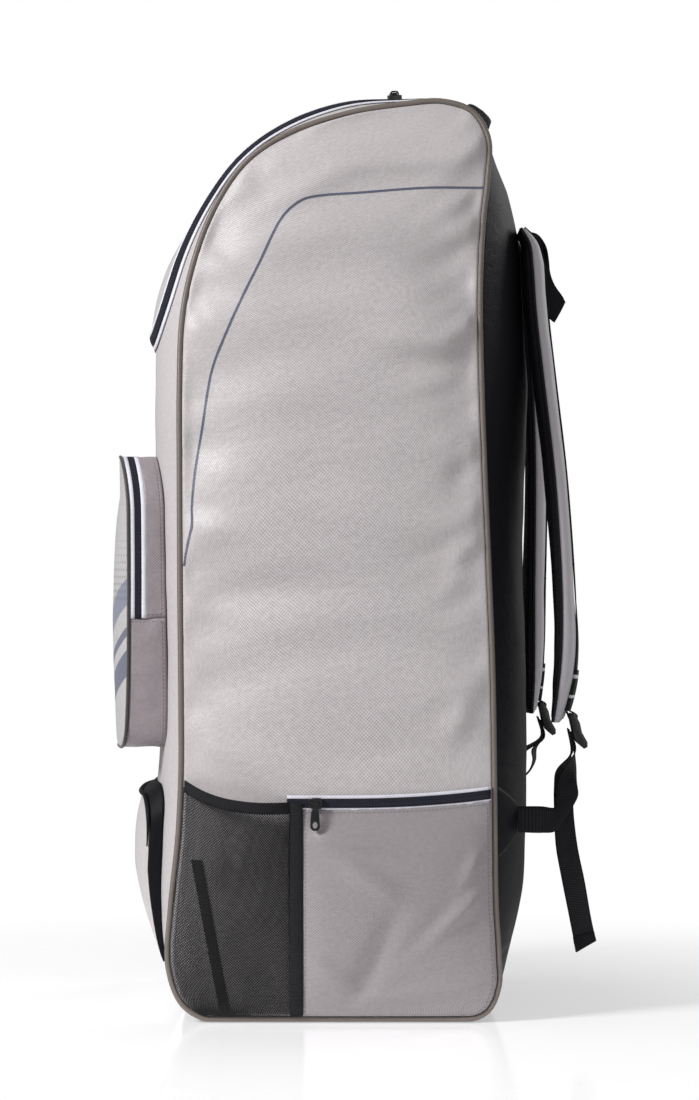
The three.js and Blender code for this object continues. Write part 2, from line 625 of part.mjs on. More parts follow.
// A flat tape down the panel under the net, from the front seam to the floor seam.
const UNDER_BAND = { top: 166, width: 11, topPlace: -0.42, footPlace: -0.33 };
add('mesh_pocket_under_band', 'black_cloth', sheet(6, 1, (row, column, face) => {
  const z = mix(SIDE_FLOOR, UNDER_BAND.top, row);
  const y = mix(UNDER_BAND.footPlace, UNDER_BAND.topPlace, row) * DEPTH + (column - 0.5) * UNDER_BAND.width;
  return sidePoint(y, z, SEAT + TRIM * (1 - face));
}));

const coolTop = (y) => zipLine(y) - ZIP_HALF;
add('cool_pocket', 'pocket_cloth', sheet(8, 7, (row, column, face) => {
  const guess = mix(SIDE_FLOOR, SIDE_ZIP_HEIGHT, row);
  const y = mix(TAPE_BACK + GAP, sideBackEdge(guess), column);
  const z = mix(SIDE_FLOOR, coolTop(y), row);
  const stand = COOL_BULGE * (1 - Math.abs(2 * column - 1) ** 3) * (1 - Math.abs(2 * row - 1) ** 3);
  return sidePoint(y, z, SEAT + stand + CLOTH * (1 - face));
}));

// A strip along the side zip, at an offset above its middle.
function sideZipStrip(offset, width, thickness) {
  const steps = 9;
  const start = TAPE_FRONT;
  const end = sideBackEdge(SIDE_ZIP_HEIGHT) - GAP;
  return loft(Array.from({ length: steps + 1 }, (_, i) => {
    const y = mix(start, end, i / steps);
    const z = zipLine(y) + offset;
    const point = (side, lift) => sidePoint(y, z + (side * width) / 2, lift);
    const high = SEAT + thickness;
    return [point(-1, SEAT), point(1, SEAT), point(1, high), point(-1, high)];
  }));
}
add('side_zip_tape', 'zip_tape', sideZipStrip(0, TAPE, TRIM));
add('side_zip_edge_upper', 'zip_edge', sideZipStrip(EDGE_OFFSET, EDGE, CLOTH));
add('side_zip_edge_lower', 'zip_edge', sideZipStrip(-EDGE_OFFSET, EDGE, CLOTH));

// Sliders and pull tabs

// A slider lies along X with its pull tab towards -Y. The tab's neck passes under the bridge.
const BRIDGE = { width: 3, height: 4.6, wall: 1.5, span: 10 };
const NECK = 5; // width of a pull tab's neck, under the bridge

function closedSolid(shape, depth, place) {
  const geometry = new THREE.ExtrudeGeometry(shape, { depth, bevelEnabled: false, curveSegments: 4 });
  geometry.deleteAttribute('normal');
  geometry.deleteAttribute('uv');
  return toManifold(geometry.applyMatrix4(place));
}

const shift = (x, y, z) => new THREE.Matrix4().makeTranslation(x, y, z);

function sliderGeometry() {
  const plate = new THREE.Shape();
  const [long, wide] = [SLIDER_LENGTH / 2, SLIDER_WIDTH / 2];
  plate.moveTo(-long, -wide * 0.6);
  plate.lineTo(-long * 0.3, -wide);
  plate.lineTo(long * 0.7, -wide);
  plate.quadraticCurveTo(long, -wide, long, 0);
  plate.quadraticCurveTo(long, wide, long * 0.7, wide);
  plate.lineTo(-long * 0.3, wide);
  plate.lineTo(-long, wide * 0.6);
  const arch = new THREE.Shape();
  const [span, top] = [BRIDGE.span / 2, BRIDGE.height];
  arch.moveTo(-span, -1);
  arch.quadraticCurveTo(-span, top, -span * 0.4, top);
  arch.lineTo(span * 0.4, top);
  arch.quadraticCurveTo(span, top, span, -1);
  arch.lineTo(span - BRIDGE.wall, -1);
  arch.quadraticCurveTo(span - BRIDGE.wall, top - BRIDGE.wall, span * 0.4, top - BRIDGE.wall);
  arch.lineTo(-span * 0.4, top - BRIDGE.wall);
  arch.quadraticCurveTo(BRIDGE.wall - span, top - BRIDGE.wall, BRIDGE.wall - span, -1);
  const stand = new THREE.Matrix4().makeRotationX(Math.PI / 2);
  const body = closedSolid(plate, SLIDER_HEIGHT, shift(0, 0, 0));
  const bridge = closedSolid(arch, BRIDGE.width, shift(0, BRIDGE.width / 2, SLIDER_HEIGHT).multiply(stand));
  return fromManifold(body.add(bridge));
}

function pullGeometry() {
  const tab = new THREE.Shape();
  const half = PULL_WIDTH / 2;
  const neck = NECK / 2;
  const head = BRIDGE.width / 2 + 2;
  tab.moveTo(-neck, head);
  tab.lineTo(-neck, -SLIDER_WIDTH / 2);
  tab.lineTo(-half * 0.8, -SLIDER_WIDTH / 2 - 3);
  tab.lineTo(-half, head - PULL_LENGTH + half);
  tab.absarc(0, head - PULL_LENGTH + half, half, Math.PI, 2 * Math.PI, false);
  tab.lineTo(half * 0.8, -SLIDER_WIDTH / 2 - 3);
  tab.lineTo(neck, -SLIDER_WIDTH / 2);
  tab.lineTo(neck, head);
  const hole = new THREE.Path();
  hole.absellipse(0, head - PULL_LENGTH + half * 1.2, half * 0.5, half * 0.72, 0, 2 * Math.PI, true);
  tab.holes.push(hole);
  const thickness = Math.min(PULL_THICKNESS, BRIDGE.height - BRIDGE.wall - 2 * GAP);
  return fromManifold(closedSolid(tab, thickness, shift(0, 0, SLIDER_HEIGHT + GAP)));
}

// Adds a slider, and a pull tab where it has one, at a place on the bag. along and out are its X and Z
// directions.
function addSlider(name, pullName, place, along, out) {
  const group = new THREE.Group();
  group.position.copy(place);
  group.quaternion.setFromRotationMatrix(new THREE.Matrix4().makeBasis(along, out.clone().cross(along), out));
  const piece = (title, geometry) => {
    const mesh = new THREE.Mesh(
      geometry,
      new THREE.MeshStandardMaterial({ ...MATERIALS.black_plastic, metalness: 0 }),
    );
    mesh.name = title;
    group.add(mesh);
  };
  piece(name, sliderGeometry());
  if (pullName) piece(pullName, pullGeometry());
  bag.add(group);
}

const SIDE_SLIDER_PLACE = -20; // of the side zip's slider, from the middle of the bag
const TOP_SLIDER_BACK = 48; // of the main zip's slider, in front of the top seam
const sideSliderSpot = sidePoint(SIDE_SLIDER_PLACE, zipLine(SIDE_SLIDER_PLACE), SEAT + CLOTH + 2 * GAP);
addSlider(
  'side_zip_slider', 'side_zip_pull', sideSliderSpot, new THREE.Vector3(0, 1, 0), new THREE.Vector3(1, 0, 0),
);

const topSliderSpot = bandPoint(TOP_SEAM - TOP_SLIDER_BACK, MAIN_ZIP_HALF, 4 * GAP);
const topSliderAhead = bandPoint(TOP_SEAM - TOP_SLIDER_BACK - 1, MAIN_ZIP_HALF, 4 * GAP);
const topSliderBeside = bandPoint(TOP_SEAM - TOP_SLIDER_BACK, MAIN_ZIP_HALF + 1, 4 * GAP);
const topSliderAlong = topSliderAhead.sub(topSliderSpot).normalize();
const topSliderOut = topSliderAlong.clone().cross(topSliderBeside.sub(topSliderSpot)).normalize();
addSlider('main_zip_slider', 'main_zip_pull', topSliderSpot, topSliderAlong, topSliderOut);

const hiddenSliderLevel = POCKET_SEAM + SLIDER_LENGTH;
const hiddenSliderLift = zipMiddle(hiddenSliderLevel) - TAPE / 2;
const hiddenSliderSpot = bandPoint(hiddenSliderLevel, -pocketHalf - TRIM / 2 - GAP, hiddenSliderLift);
addSlider(
  'front_pocket_slider', null, hiddenSliderSpot, new THREE.Vector3(0, 0, 1), new THREE.Vector3(-1, 0, 0),
);

// Top handle

// Webbing across the top's back corner, flat where it is sewn and folded in two along its raised middle.
const HANDLE_STEPS = 12;
const handleEdge = Math.min(HANDLE_WIDTH, SHOULDER - TOP_SEAM) / 2;
add('top_handle', 'webbing', loft(Array.from({ length: HANDLE_STEPS + 1 }, (_, i) => {
  const share = (2 * i) / HANDLE_STEPS - 1;
  const fold = THREE.MathUtils.smoothstep(1 - Math.abs(share), 0.16, 0.62);
  const half = mix(handleEdge, HANDLE_GRIP / 2, fold);
  const low = SEAT + HANDLE_RISE * fold;
  const high = low + mix(TRIM, HANDLE_THICKNESS, fold);
  const row = (lift) => [-1, -0.5, 0, 0.5, 1].map((side) => (
    bandPoint(SHOULDER + side * half, (share * HANDLE_SPAN) / 2, mix(lift, (low + high) / 2, 0.6 * side ** 4))
  ));
  return [...row(high), ...row(low).reverse()];
})));

// Shoulder straps

// The line between the two halves of each strap, from its root down. x is measured away from the middle
// of the bag, far is how much closer to the bag the left strap lies, fill a share of the padding, and
// turn the degrees by which the strap's outer face turns outwards.
const STRAP = [
  { x: 62, y: 194, z: 818, far: 0, width: 0.9, fill: 0.3, turn: 0 },
  { x: 62, y: 203, z: 801, far: 0, width: 0.95, fill: 0.75, turn: 0 },
  { x: 63, y: 206, z: 776, far: 0, width: 1, fill: 1, turn: 0 },
  { x: 67, y: 209, z: 730, far: 0, width: 1, fill: 1, turn: 0 },
  { x: 74, y: 217, z: 655, far: 3, width: 1, fill: 1, turn: 0 },
  { x: 84, y: 227, z: 563, far: 10, width: 1, fill: 1, turn: 0 },
  { x: 93, y: 236, z: 440, far: 21, width: 0.95, fill: 1, turn: 3 },
  { x: 96, y: 238, z: 375, far: 25, width: 0.86, fill: 1, turn: 8 },
  { x: 97, y: 235, z: 333, far: 23, width: 0.74, fill: 0.8, turn: 11 },
  { x: 97, y: 230, z: 302, far: 18, width: 0.5, fill: 0.45, turn: 12 },
];
const strapLast = STRAP.length - 1;

function strapFrame(side, share) {
  const far = side < 0 ? 1 : 0;
  const line = new THREE.CatmullRomCurve3(
    STRAP.map((row) => new THREE.Vector3(side * row.x, row.y - far * row.far, row.z)),
  );
  const form = new THREE.CatmullRomCurve3(
    STRAP.map((row) => new THREE.Vector3(row.width, row.fill, row.turn)),
  );
  const at = form.getPoint(share);
  const run = line.getTangent(share);
  const across = new THREE.Vector3(1, 0, 0).addScaledVector(run, -run.x).normalize();
  across.applyAxisAngle(run, side * THREE.MathUtils.degToRad(at.z));
  const out = across.clone().cross(run).normalize();
  if (out.y < 0) out.negate();
  return { centre: line.getPoint(share), across, out, half: (at.x * STRAP_WIDTH) / 2, fill: at.y };
}

// A layer of a strap between two shares of its length. ring gives its section: across and lift pairs.
const STRAP_STEPS = 12;
function strapLayer(side, from, to, ring) {
  const between = Array.from({ length: STRAP_STEPS }, (_, i) => i / STRAP_STEPS)
    .filter((share) => share > from + 0.01 && share < to - 0.01);
  return loft([from, ...between, to].map((share) => {
    const frame = strapFrame(side, share);
    return ring(frame).map(([across, lift]) => (
      frame.centre.clone().addScaledVector(frame.across, across).addScaledVector(frame.out, lift)
    ));
  }));
}

// Half of a padded strap: flat on the line between the halves, rounded over on the other side.
const halfPad = (thickness) => ({ half, fill }) => {
  const start = (Math.sign(thickness) * GAP) / 2;
  const full = start + thickness * fill;
  const edge = start + thickness * fill * 0.4;
  const under = thickness > 0 ? [[-WEBBING / 2, full], [WEBBING / 2, full]] : [];
  return [
    [-half, edge], [-half * 0.8, full], ...under, [half * 0.8, full], [half, edge],
    [half, start], [half * 0.8, start], [-half * 0.8, start], [-half, start],
  ];
};
const flatStrap = (width, thickness) => ({ fill }) => {
  const low = COVER * fill + GAP / 2 + SEAT;
  const half = width / 2;
  return [[-half, low + thickness], [half, low + thickness], [half, low], [-half, low]];
};

const TAB_START = 7.4 / strapLast;
const TAB_END = 8.55 / strapLast;

// A ladder-lock buckle: a plate with two slots, lying in XY with its length along Y.
function buckleGeometry() {
  const [half, long] = [BUCKLE_WIDTH / 2, BUCKLE_LENGTH / 2];
  const plate = new THREE.Shape();
  plate.moveTo(-half, -long);
  plate.lineTo(half, -long);
  plate.lineTo(half * 0.92, long);
  plate.lineTo(-half * 0.92, long);
  const slotHalf = half - BUCKLE_SIDE;
  const slotDepth = (BUCKLE_LENGTH - 3 * BUCKLE_BAR) / 2;
  [-1, 1].forEach((end) => {
    const middle = (end * (BUCKLE_BAR + slotDepth)) / 2;
    const opening = new THREE.Path();
    opening.moveTo(-slotHalf, middle - slotDepth / 2);
    opening.lineTo(-slotHalf, middle + slotDepth / 2);
    opening.lineTo(slotHalf, middle + slotDepth / 2);
    opening.lineTo(slotHalf, middle - slotDepth / 2);
    plate.holes.push(opening);
  });
  return fromManifold(closedSolid(plate, BUCKLE_HEIGHT, shift(0, 0, -BUCKLE_HEIGHT / 2)));
}

const buckleLean = THREE.MathUtils.degToRad(BUCKLE_LEAN);
const buckleUp = new THREE.Vector3(0, -Math.sin(buckleLean), Math.cos(buckleLean));
const buckleOut = new THREE.Vector3(0, Math.cos(buckleLean), Math.sin(buckleLean));

// The middle of a buckle: its upper end meets the end of the strap's tab.
function buckleCentre(side) {
  const frame = strapFrame(side, TAB_END);
  return frame.centre.clone()
    .addScaledVector(frame.out, COVER * frame.fill + 8 * GAP + BUCKLE_HEIGHT / 2)
    .addScaledVector(buckleUp, -BUCKLE_LENGTH / 2 - 6 * GAP);
}

// Both edges of webbing that lies behind a buckle, at a height from its middle.
function behindBuckle(side, height, behind) {
  const middle = buckleCentre(side)
    .addScaledVector(buckleUp, height)
    .addScaledVector(buckleOut, -BUCKLE_HEIGHT / 2 - behind);
  const edge = (across) => [middle.x + across, middle.y, middle.z];
  return { first: edge(WEBBING / 2), second: edge(-WEBBING / 2) };
}

function addBuckle(name, side) {
  const buckle = new THREE.Mesh(
    buckleGeometry(),
    new THREE.MeshStandardMaterial({ ...MATERIALS.black_plastic, metalness: 0 }),
  );
  buckle.name = name;
  buckle.position.copy(buckleCentre(side));
  buckle.quaternion.setFromRotationMatrix(
    new THREE.Matrix4().makeBasis(buckleUp.clone().cross(buckleOut), buckleUp, buckleOut),
  );
  bag.add(buckle);
}

[{ side: 1, hand: 'right' }, { side: -1, hand: 'left' }].forEach(({ side, hand }) => {
  add(`shoulder_strap_cover_${hand}`, 'strap_cloth', strapLayer(side, 0, 1, halfPad(COVER)));
  add(`shoulder_strap_lining_${hand}`, 'black_mesh', strapLayer(side, 0, 1, halfPad(-LINING)));
  add(`strap_webbing_${hand}`, 'webbing', strapLayer(side, 0, TAB_START - 0.002, flatStrap(WEBBING, TRIM)));
  add(`strap_tab_${hand}`, 'webbing', strapLayer(side, TAB_START, TAB_END, flatStrap(WEBBING, TAB)));
  addBuckle(`strap_buckle_${hand}`, side);
});

// Loose webbing. Its route is chosen by hand: each row holds the two edges of the webbing at one place.
function webbingPiece(route, steps, thickness = TRIM) {
  const edge = (key) => new THREE.CatmullRomCurve3(
    route.map((row) => new THREE.Vector3(...row[key])), false, 'centripetal',
  );
  const [first, second] = [edge('first'), edge('second')];
  return loft(Array.from({ length: steps + 1 }, (_, i) => {
    const share = i / steps;
    const [a, b] = [first.getPoint(share), second.getPoint(share)];
    const run = first.getTangent(share).add(second.getTangent(share)).normalize();
    const out = b.clone().sub(a).cross(run).setLength(thickness / 2);
    return [a.clone().add(out), b.clone().add(out), b.clone().sub(out), a.clone().sub(out)];
  }), false, true);
}

// The right strap's lower webbing leaves its anchor level, turns up at a folded corner and runs up to the
// buckle.
const LOWER_WEBBING_RIGHT = [
  { first: [118, 189.6, 216], second: [118, 189.6, 189] },
  { first: [119, 214, 216], second: [119, 214, 188.5] },
  { first: [118.5, 226.5, 214.6], second: [118.5, 227.5, 190] },
  { first: [117.5, 227.5, 216], second: [117.5, 239, 204] },
  { first: [116, 228, 219], second: [116, 247, 216.5] },
  { first: [114, 229, 227], second: [113, 252, 227] },
  { first: [111, 230, 239], second: [108, 251, 240] },
  { first: [111, 238, 255], second: [93, 251, 256] },
  behindBuckle(1, -BUCKLE_LENGTH / 2, TRIM),
  behindBuckle(1, 0, TRIM),
];
add('lower_webbing_right', 'webbing', webbingPiece(LOWER_WEBBING_RIGHT, 20));

// Its free end hangs behind it.
const TAIL_RIGHT = [
  behindBuckle(1, 4, 2 * TRIM + 2 * GAP),
  behindBuckle(1, -BUCKLE_LENGTH / 2, 3.5 * TRIM),
  { first: [106, 230, 252], second: [88, 245, 252] },
  { first: [106, 227.5, 235], second: [102, 247, 235] },
  { first: [109, 227.5, 205], second: [108, 248, 205] },
  { first: [111, 229, 174], second: [110, 252, 172] },
  { first: [112, 235, 140], second: [110, 259, 138] },
  { first: [112, 243, 100], second: [109, 266, 98] },
  { first: [112, 250, 64], second: [109, 271, 75.5] },
];
add('strap_tail_right', 'webbing', webbingPiece(TAIL_RIGHT, 16));

const LOWER_WEBBING_LEFT = [
  behindBuckle(-1, 0, TRIM),
  behindBuckle(-1, -BUCKLE_LENGTH / 2, TRIM),
  { first: [-92, 216, 262], second: [-116, 222, 262] },
  { first: [-98, 217, 250], second: [-121, 221, 248] },
  { first: [-102, 214, 239], second: [-124, 215, 236] },
  { first: [-105, 207, 231], second: [-127, 206, 227] },
  { first: [-108, 199, 224], second: [-130, 195.5, 219] },
  { first: [-112, 191.8, 214], second: [-132, 186.8, 206] },
];
add('lower_webbing_left', 'webbing', webbingPiece(LOWER_WEBBING_LEFT, 11));

// The left strap's free end hangs against the back panel. lift is measured from the panel.
const TAIL_LEFT = [
  { z: 255, lift: 6.6 },
  { z: 236, lift: 4.6 },
  { z: 208, lift: 3 },
  { z: 180, lift: 2.6 },
  { z: 140, lift: 2.6 },
  { z: 105, lift: 2.6 },
  { z: 72, lift: 3.4 },
];
const TAIL_LEFT_PLACE = -84;
const BACK_ROWS = [KICK_SEAM, stationAt(rowOf('back_seam'))];
const backPoint = (x, z, lift) => bandPoint(stationAtHeight(z, BACK_ROWS[0], BACK_ROWS[1]), x, lift);
const tailLeft = TAIL_LEFT.map(({ z, lift }) => ({
  first: backPoint(TAIL_LEFT_PLACE, z, lift).toArray(),
  second: backPoint(TAIL_LEFT_PLACE - WEBBING, z, lift).toArray(),
}));
const tailLeftTop = [behindBuckle(-1, 4, 2 * TRIM + 2 * GAP), behindBuckle(-1, -BUCKLE_LENGTH / 2, 3 * TRIM)];
add('strap_tail_left', 'webbing', webbingPiece([...tailLeftTop, ...tailLeft], 12));

// Anchor wings: cloth corners sewn in the back's side seams, that hold the lower webbing.
const WING = { reach: 118, height: 203, root: 76, tip: 30 };
[{ side: 1, hand: 'right' }, { side: -1, hand: 'left' }].forEach(({ side, hand }) => {
  add(`anchor_wing_${hand}`, 'black_cloth', sheet(4, 3, (row, column, face) => {
    const x = mix(WING.reach, BAND_EDGE - GAP, column);
    const z = WING.height + (row - 0.5) * mix(WING.tip, WING.root, column);
    return backPoint(side * x, z, SEAT + TRIM * (1 - face));
  }));
});

// Haul loop: webbing from the root of the straps, out and down to a flat folded end and back.
const HAUL_LOOP = [
  { first: [-29, 191.9, 818], second: [-4, 193.1, 818] },
  { first: [-29, 205, 822], second: [-4, 206, 822] },
  { first: [-27, 213, 822], second: [-3, 216, 820] },
  { first: [-20, 221, 812], second: [-3, 225, 808] },
  { first: [-8, 223, 793], second: [-3, 228.5, 792] },
  { first: [-2.4, 222.4, 775], second: [-2.2, 230, 780] },
  { first: [-1.6, 222.6, 762], second: [-1.6, 235, 765] },
  { first: [-1.6, 223, 748], second: [-1.6, 242, 755] },
  { first: [-1.6, 224.5, 733], second: [-1.6, 245, 747] },
];
const HAUL_RETURN = [
  { first: [1.6, 224.5, 733], second: [1.6, 245, 747] },
  { first: [1.6, 223, 748], second: [1.6, 242, 755] },
  { first: [1.6, 222.6, 762], second: [1.6, 235, 765] },
  { first: [2.2, 222.2, 775], second: [2.4, 229, 779] },
  { first: [5, 217, 792], second: [10, 222, 794] },
  { first: [4, 210, 803], second: [22, 214, 805] },
  { first: [4, 203, 810], second: [28, 205, 811] },
  { first: [4, 193.9, 814], second: [29, 192.6, 814] },
];
const HAUL_FOLD = { first: [0, 226, 728], second: [0, 243, 740] };
add('haul_loop', 'webbing', webbingPiece([...HAUL_LOOP, HAUL_FOLD, ...HAUL_RETURN], 30));

export default bag;
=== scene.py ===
# A tall upright soft kit bag with two shoulder straps, dressed in cloth, net, zips and webbing.
# Sizes are in millimetres in the frame of the part: +Z up, the pockets face -Y and the straps +Y.

import math
from bisect import bisect_right

import bmesh
import bpy
from mathutils import Matrix, Vector, noise


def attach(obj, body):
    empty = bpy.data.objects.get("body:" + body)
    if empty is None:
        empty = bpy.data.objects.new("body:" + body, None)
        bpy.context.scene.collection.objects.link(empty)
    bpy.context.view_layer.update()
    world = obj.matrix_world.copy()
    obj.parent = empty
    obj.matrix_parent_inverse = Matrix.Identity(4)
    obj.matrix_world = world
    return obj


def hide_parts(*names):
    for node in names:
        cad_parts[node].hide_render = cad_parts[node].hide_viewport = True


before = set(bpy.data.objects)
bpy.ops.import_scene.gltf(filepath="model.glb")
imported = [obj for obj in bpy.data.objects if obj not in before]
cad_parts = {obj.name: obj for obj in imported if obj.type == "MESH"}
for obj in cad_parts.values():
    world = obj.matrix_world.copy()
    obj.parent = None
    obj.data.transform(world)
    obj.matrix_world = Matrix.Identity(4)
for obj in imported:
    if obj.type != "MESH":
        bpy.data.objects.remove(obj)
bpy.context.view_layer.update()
MM = 0.001

# Camera: level, on the pocketed side, as far away as the photograph's long lens.
PHOTO_PIXEL = 1.02  # mm of the side panel that one pixel of the photograph shows
PHOTO_SIZE = (699, 1100)
PHOTO_ORIGIN = (335, 1022)  # pixel of the middle of the bag at the floor
CAMERA_DISTANCE = 3300  # from the side panel
SENSOR = 36


def photo_point(x, y):
    """The Y and Z of a pixel of the photograph, on the side panel."""
    return (x - PHOTO_ORIGIN[0]) * PHOTO_PIXEL, (PHOTO_ORIGIN[1] - y) * PHOTO_PIXEL


def add_camera():
    y, z = photo_point(PHOTO_SIZE[0] / 2, PHOTO_SIZE[1] / 2)
    data = bpy.data.cameras.new("camera")
    data.sensor_width = SENSOR
    data.lens = SENSOR * CAMERA_DISTANCE / (PHOTO_SIZE[1] * PHOTO_PIXEL)
    camera = bpy.data.objects.new("camera", data)
    camera.location = Vector((CAMERA_DISTANCE + WIDTH / 2, y, z)) * MM
    camera.rotation_euler = (math.pi / 2, 0, math.pi / 2)
    bpy.context.collection.objects.link(camera)
    bpy.context.scene.camera = camera


# Sizes of the part.
HEIGHT = 940
DEPTH = 336
WIDTH = 340
BAND_BULGE = 54
SIDE_BULGE = 20
CLOTH = 2
PADDING = 8
PIPING = 6
GAP = 0.3
SEAT = 0.9
TRIM = 1.4
TAPE = 6.5
EDGE = 4.4
MAIN_ZIP_INSET = 35
FLAP_DROP = 241
MAIN_ZIP_RADIUS = 70
POCKET_FLOOR = 276
POCKET_HEIGHT = 304
POCKET_ZIP_FALL = 169
POCKET_WIDTH = 240
POCKET_DEPTH = 38
POCKET_SAG = 6
POCKET_DOME = 10
POCKET_HEAD_RADIUS = 60
POCKET_FOOT_RADIUS = 22
POCKET_PIPING = 3.4
LOWER_FLOOR = 57
LOWER_HEIGHT = 181
LOWER_WIDTH = 252
LOWER_DEPTH = 15
LOWER_DOME = 7
LOWER_RADIUS = 34
LOWER_LEAN = 13
LOWER_ROLL = 4.6
MESH_HEIGHT = 226
MESH_RISE = 21
MESH_BULGE = 17
BINDING = 12
NET_TAPE = 13
NET_TAPE_PLACE = -39
COOL_BULGE = 9
SIDE_ZIP_HEIGHT = 225
SIDE_ZIP_RISE = 9
STRAP_WIDTH = 68
COVER = 13
LINING = 9
WEBBING = 25
TAB = 3
BUCKLE_WIDTH = 32
BUCKLE_LENGTH = 38
BUCKLE_HEIGHT = 7
BUCKLE_LEAN = 12
HANDLE_SPAN = 140
HANDLE_WIDTH = 34
HANDLE_GRIP = 19
HANDLE_THICKNESS = 6
HANDLE_RISE = 16

# The side seam: depth as a share of DEPTH, height of HEIGHT and the band's bulge of BAND_BULGE.
SEAM = [
    (-0.461, 0.018, 0.13),
    (-0.506, 0.059, 0.15),
    (-0.5, 0.119, 0.4),
    (-0.476, 0.202, 0.61),
    (-0.467, 0.271, 0.57),
    (-0.467, 0.34, 0.52),
    (-0.47, 0.457, 0.54),
    (-0.472, 0.596, 0.59),
    (-0.472, 0.691, 0.61),
    (-0.464, 0.762, 0.61),
    (-0.435, 0.817, 0.52),
    (-0.372, 0.879, 0.28),
    (-0.274, 0.932, 0.17),
    (-0.149, 0.963, 0.2),
    (0.039, 0.986, 0.25),
    (0.208, 0.996, 0.15),
    (0.327, 0.999, 0.08),
    (0.417, 0.988, 0.06),
    (0.464, 0.961, 0.07),
    (0.463, 0.915, 0.48),
    (0.449, 0.867, 0.8),
    (0.44, 0.787, 0.94),
    (0.445, 0.691, 1),
    (0.455, 0.59, 0.89),
    (0.467, 0.489, 0.8),
    (0.479, 0.372, 0.78),
    (0.485, 0.213, 0.74),
    (0.488, 0.128, 0.63),
    (0.497, 0.072, 0.35),
    (0.497, 0.038, 0.15),
    (0.461, 0.011, 0.1),
    (0.36, 0, 0.1),
    (0, 0, 0.1),
    (-0.36, 0, 0.1),
]
ROWS = {"toe": 0, "crown": 12, "top_seam": 16, "shoulder": 17, "back_seam": 18, "kick_seam": 28, "heel": 30}
LAST_ROW = len(SEAM)
HANDS = ((1, "right"), (-1, "left"))
SAMPLES = 12
SEAM_REST = PIPING / 2 + GAP
BAND_EDGE = WIDTH / 2 - PIPING / 2 - GAP
FLATNESS = 2.6
TOP_FLATNESS = 5


def mix(a, b, share):
    return a + (b - a) * share


def clamp(value, low, high):
    return max(low, min(high, value))


def smooth(value, low, high):
    share = clamp((value - low) / (high - low), 0, 1)
    return share * share * (3 - 2 * share)


class Spline:
    """A centripetal Catmull-Rom curve through points."""

    def __init__(self, points, closed=False):
        self.points = [Vector(point) for point in points]
        self.closed = closed

    def at(self, share):
        count = len(self.points)
        place = (count if self.closed else count - 1) * clamp(share, 0, 1)
        first = int(place)
        if not self.closed:
            first = min(first, count - 2)
        weight = place - first
        corner = [self._corner(first + step) for step in (-1, 0, 1, 2)]
        steps = [max((corner[i + 1] - corner[i]).length_squared ** 0.25, 1e-4) for i in range(3)]
        a, b, c, d = corner
        leave = (b - a) / steps[0] - (c - a) / (steps[0] + steps[1]) + (c - b) / steps[1]
        arrive = (c - b) / steps[1] - (d - b) / (steps[1] + steps[2]) + (d - c) / steps[2]
        leave, arrive = leave * steps[1], arrive * steps[1]
        square = -3 * b + 3 * c - 2 * leave - arrive
        cube = 2 * b - 2 * c + leave + arrive
        return b + leave * weight + square * weight**2 + cube * weight**3

    def _corner(self, index):
        count = len(self.points)
        if self.closed:
            return self.points[index % count]
        if index < 0:
            return 2 * self.points[0] - self.points[1]
        if index >= count:
            return 2 * self.points[-1] - self.points[-2]
        return self.points[index]

    def run(self, share, step):
        """The curve's direction, measured over a step to both sides."""
        return (self.at(min(share + step, 1)) - self.at(max(share - step, 0))).normalized()


def path_lengths(path):
    lengths = [0.0]
    for before, after in zip(path, path[1:]):
        lengths.append(lengths[-1] + (after - before).length)
    return lengths


class Band:
    """The band of panels round the bag: places on it by length along the seam, across it and lift over it."""

    def __init__(self):
        spline = Spline([(b * BAND_BULGE, d * DEPTH, h * HEIGHT) for d, h, b in SEAM], closed=True)
        steps = LAST_ROW * SAMPLES
        points = [spline.at(i / steps) for i in range(steps)]
        points.append(points[0])
        self.lengths = path_lengths(points)
        self.loop = self.lengths[-1]
        self.table = []
        for i in range(steps + 1):
            run = spline.at(((i + 0.02) / steps) % 1) - spline.at(((i - 0.02) / steps) % 1)
            normal = Vector((0, -run.z, run.y)).normalized()
            self.table.append((points[i].y, max(points[i].z, SEAM_REST), points[i].x, normal.y, normal.z))

    def station(self, row):
        """The length along the seam to a row of SEAM."""
        place = row * SAMPLES
        before = min(int(place), len(self.lengths) - 2)
        return mix(self.lengths[before], self.lengths[before + 1], place - before)

    def seam(self, along):
        along = along % self.loop
        i = min(bisect_right(self.lengths, along) - 1, len(self.lengths) - 2)
        share = (along - self.lengths[i]) / (self.lengths[i + 1] - self.lengths[i])
        return [mix(a, b, share) for a, b in zip(self.table[i], self.table[i + 1])]

    def point(self, along, across, lift=0.0):
        y, z, bulge, normal_y, normal_z = self.seam(along)
        size = math.hypot(normal_y, normal_z)
        normal_y, normal_z = normal_y / size, normal_z / size
        share = min(abs(across) / BAND_EDGE, 1)
        rise = bulge * (1 - share ** (FLATNESS + TOP_FLATNESS * normal_z**2)) + lift
        return Vector((across, y + normal_y * rise, max(z + normal_z * rise, -lift, 0)))

    def station_at(self, height, start, end):
        """Where the seam between two stations is at a height."""
        low, high = start, end
        rising = self.seam(end)[1] > self.seam(start)[1]
        for _ in range(30):
            middle = (low + high) / 2
            if (self.seam(middle)[1] < height) == rising:
                low = middle
            else:
                high = middle
        return (low + high) / 2


band = Band()
TOE = band.station(ROWS["toe"])
CROWN = band.station(ROWS["crown"])
TOP_SEAM = band.station(ROWS["top_seam"])
SHOULDER = band.station(ROWS["shoulder"])
BACK_SEAM = band.station(ROWS["back_seam"])
KICK_SEAM = band.station(ROWS["kick_seam"])


# Meshes


def new_object(name, mesh):
    piece = bpy.data.objects.new(name, mesh)
    bpy.context.collection.objects.link(piece)
    return piece


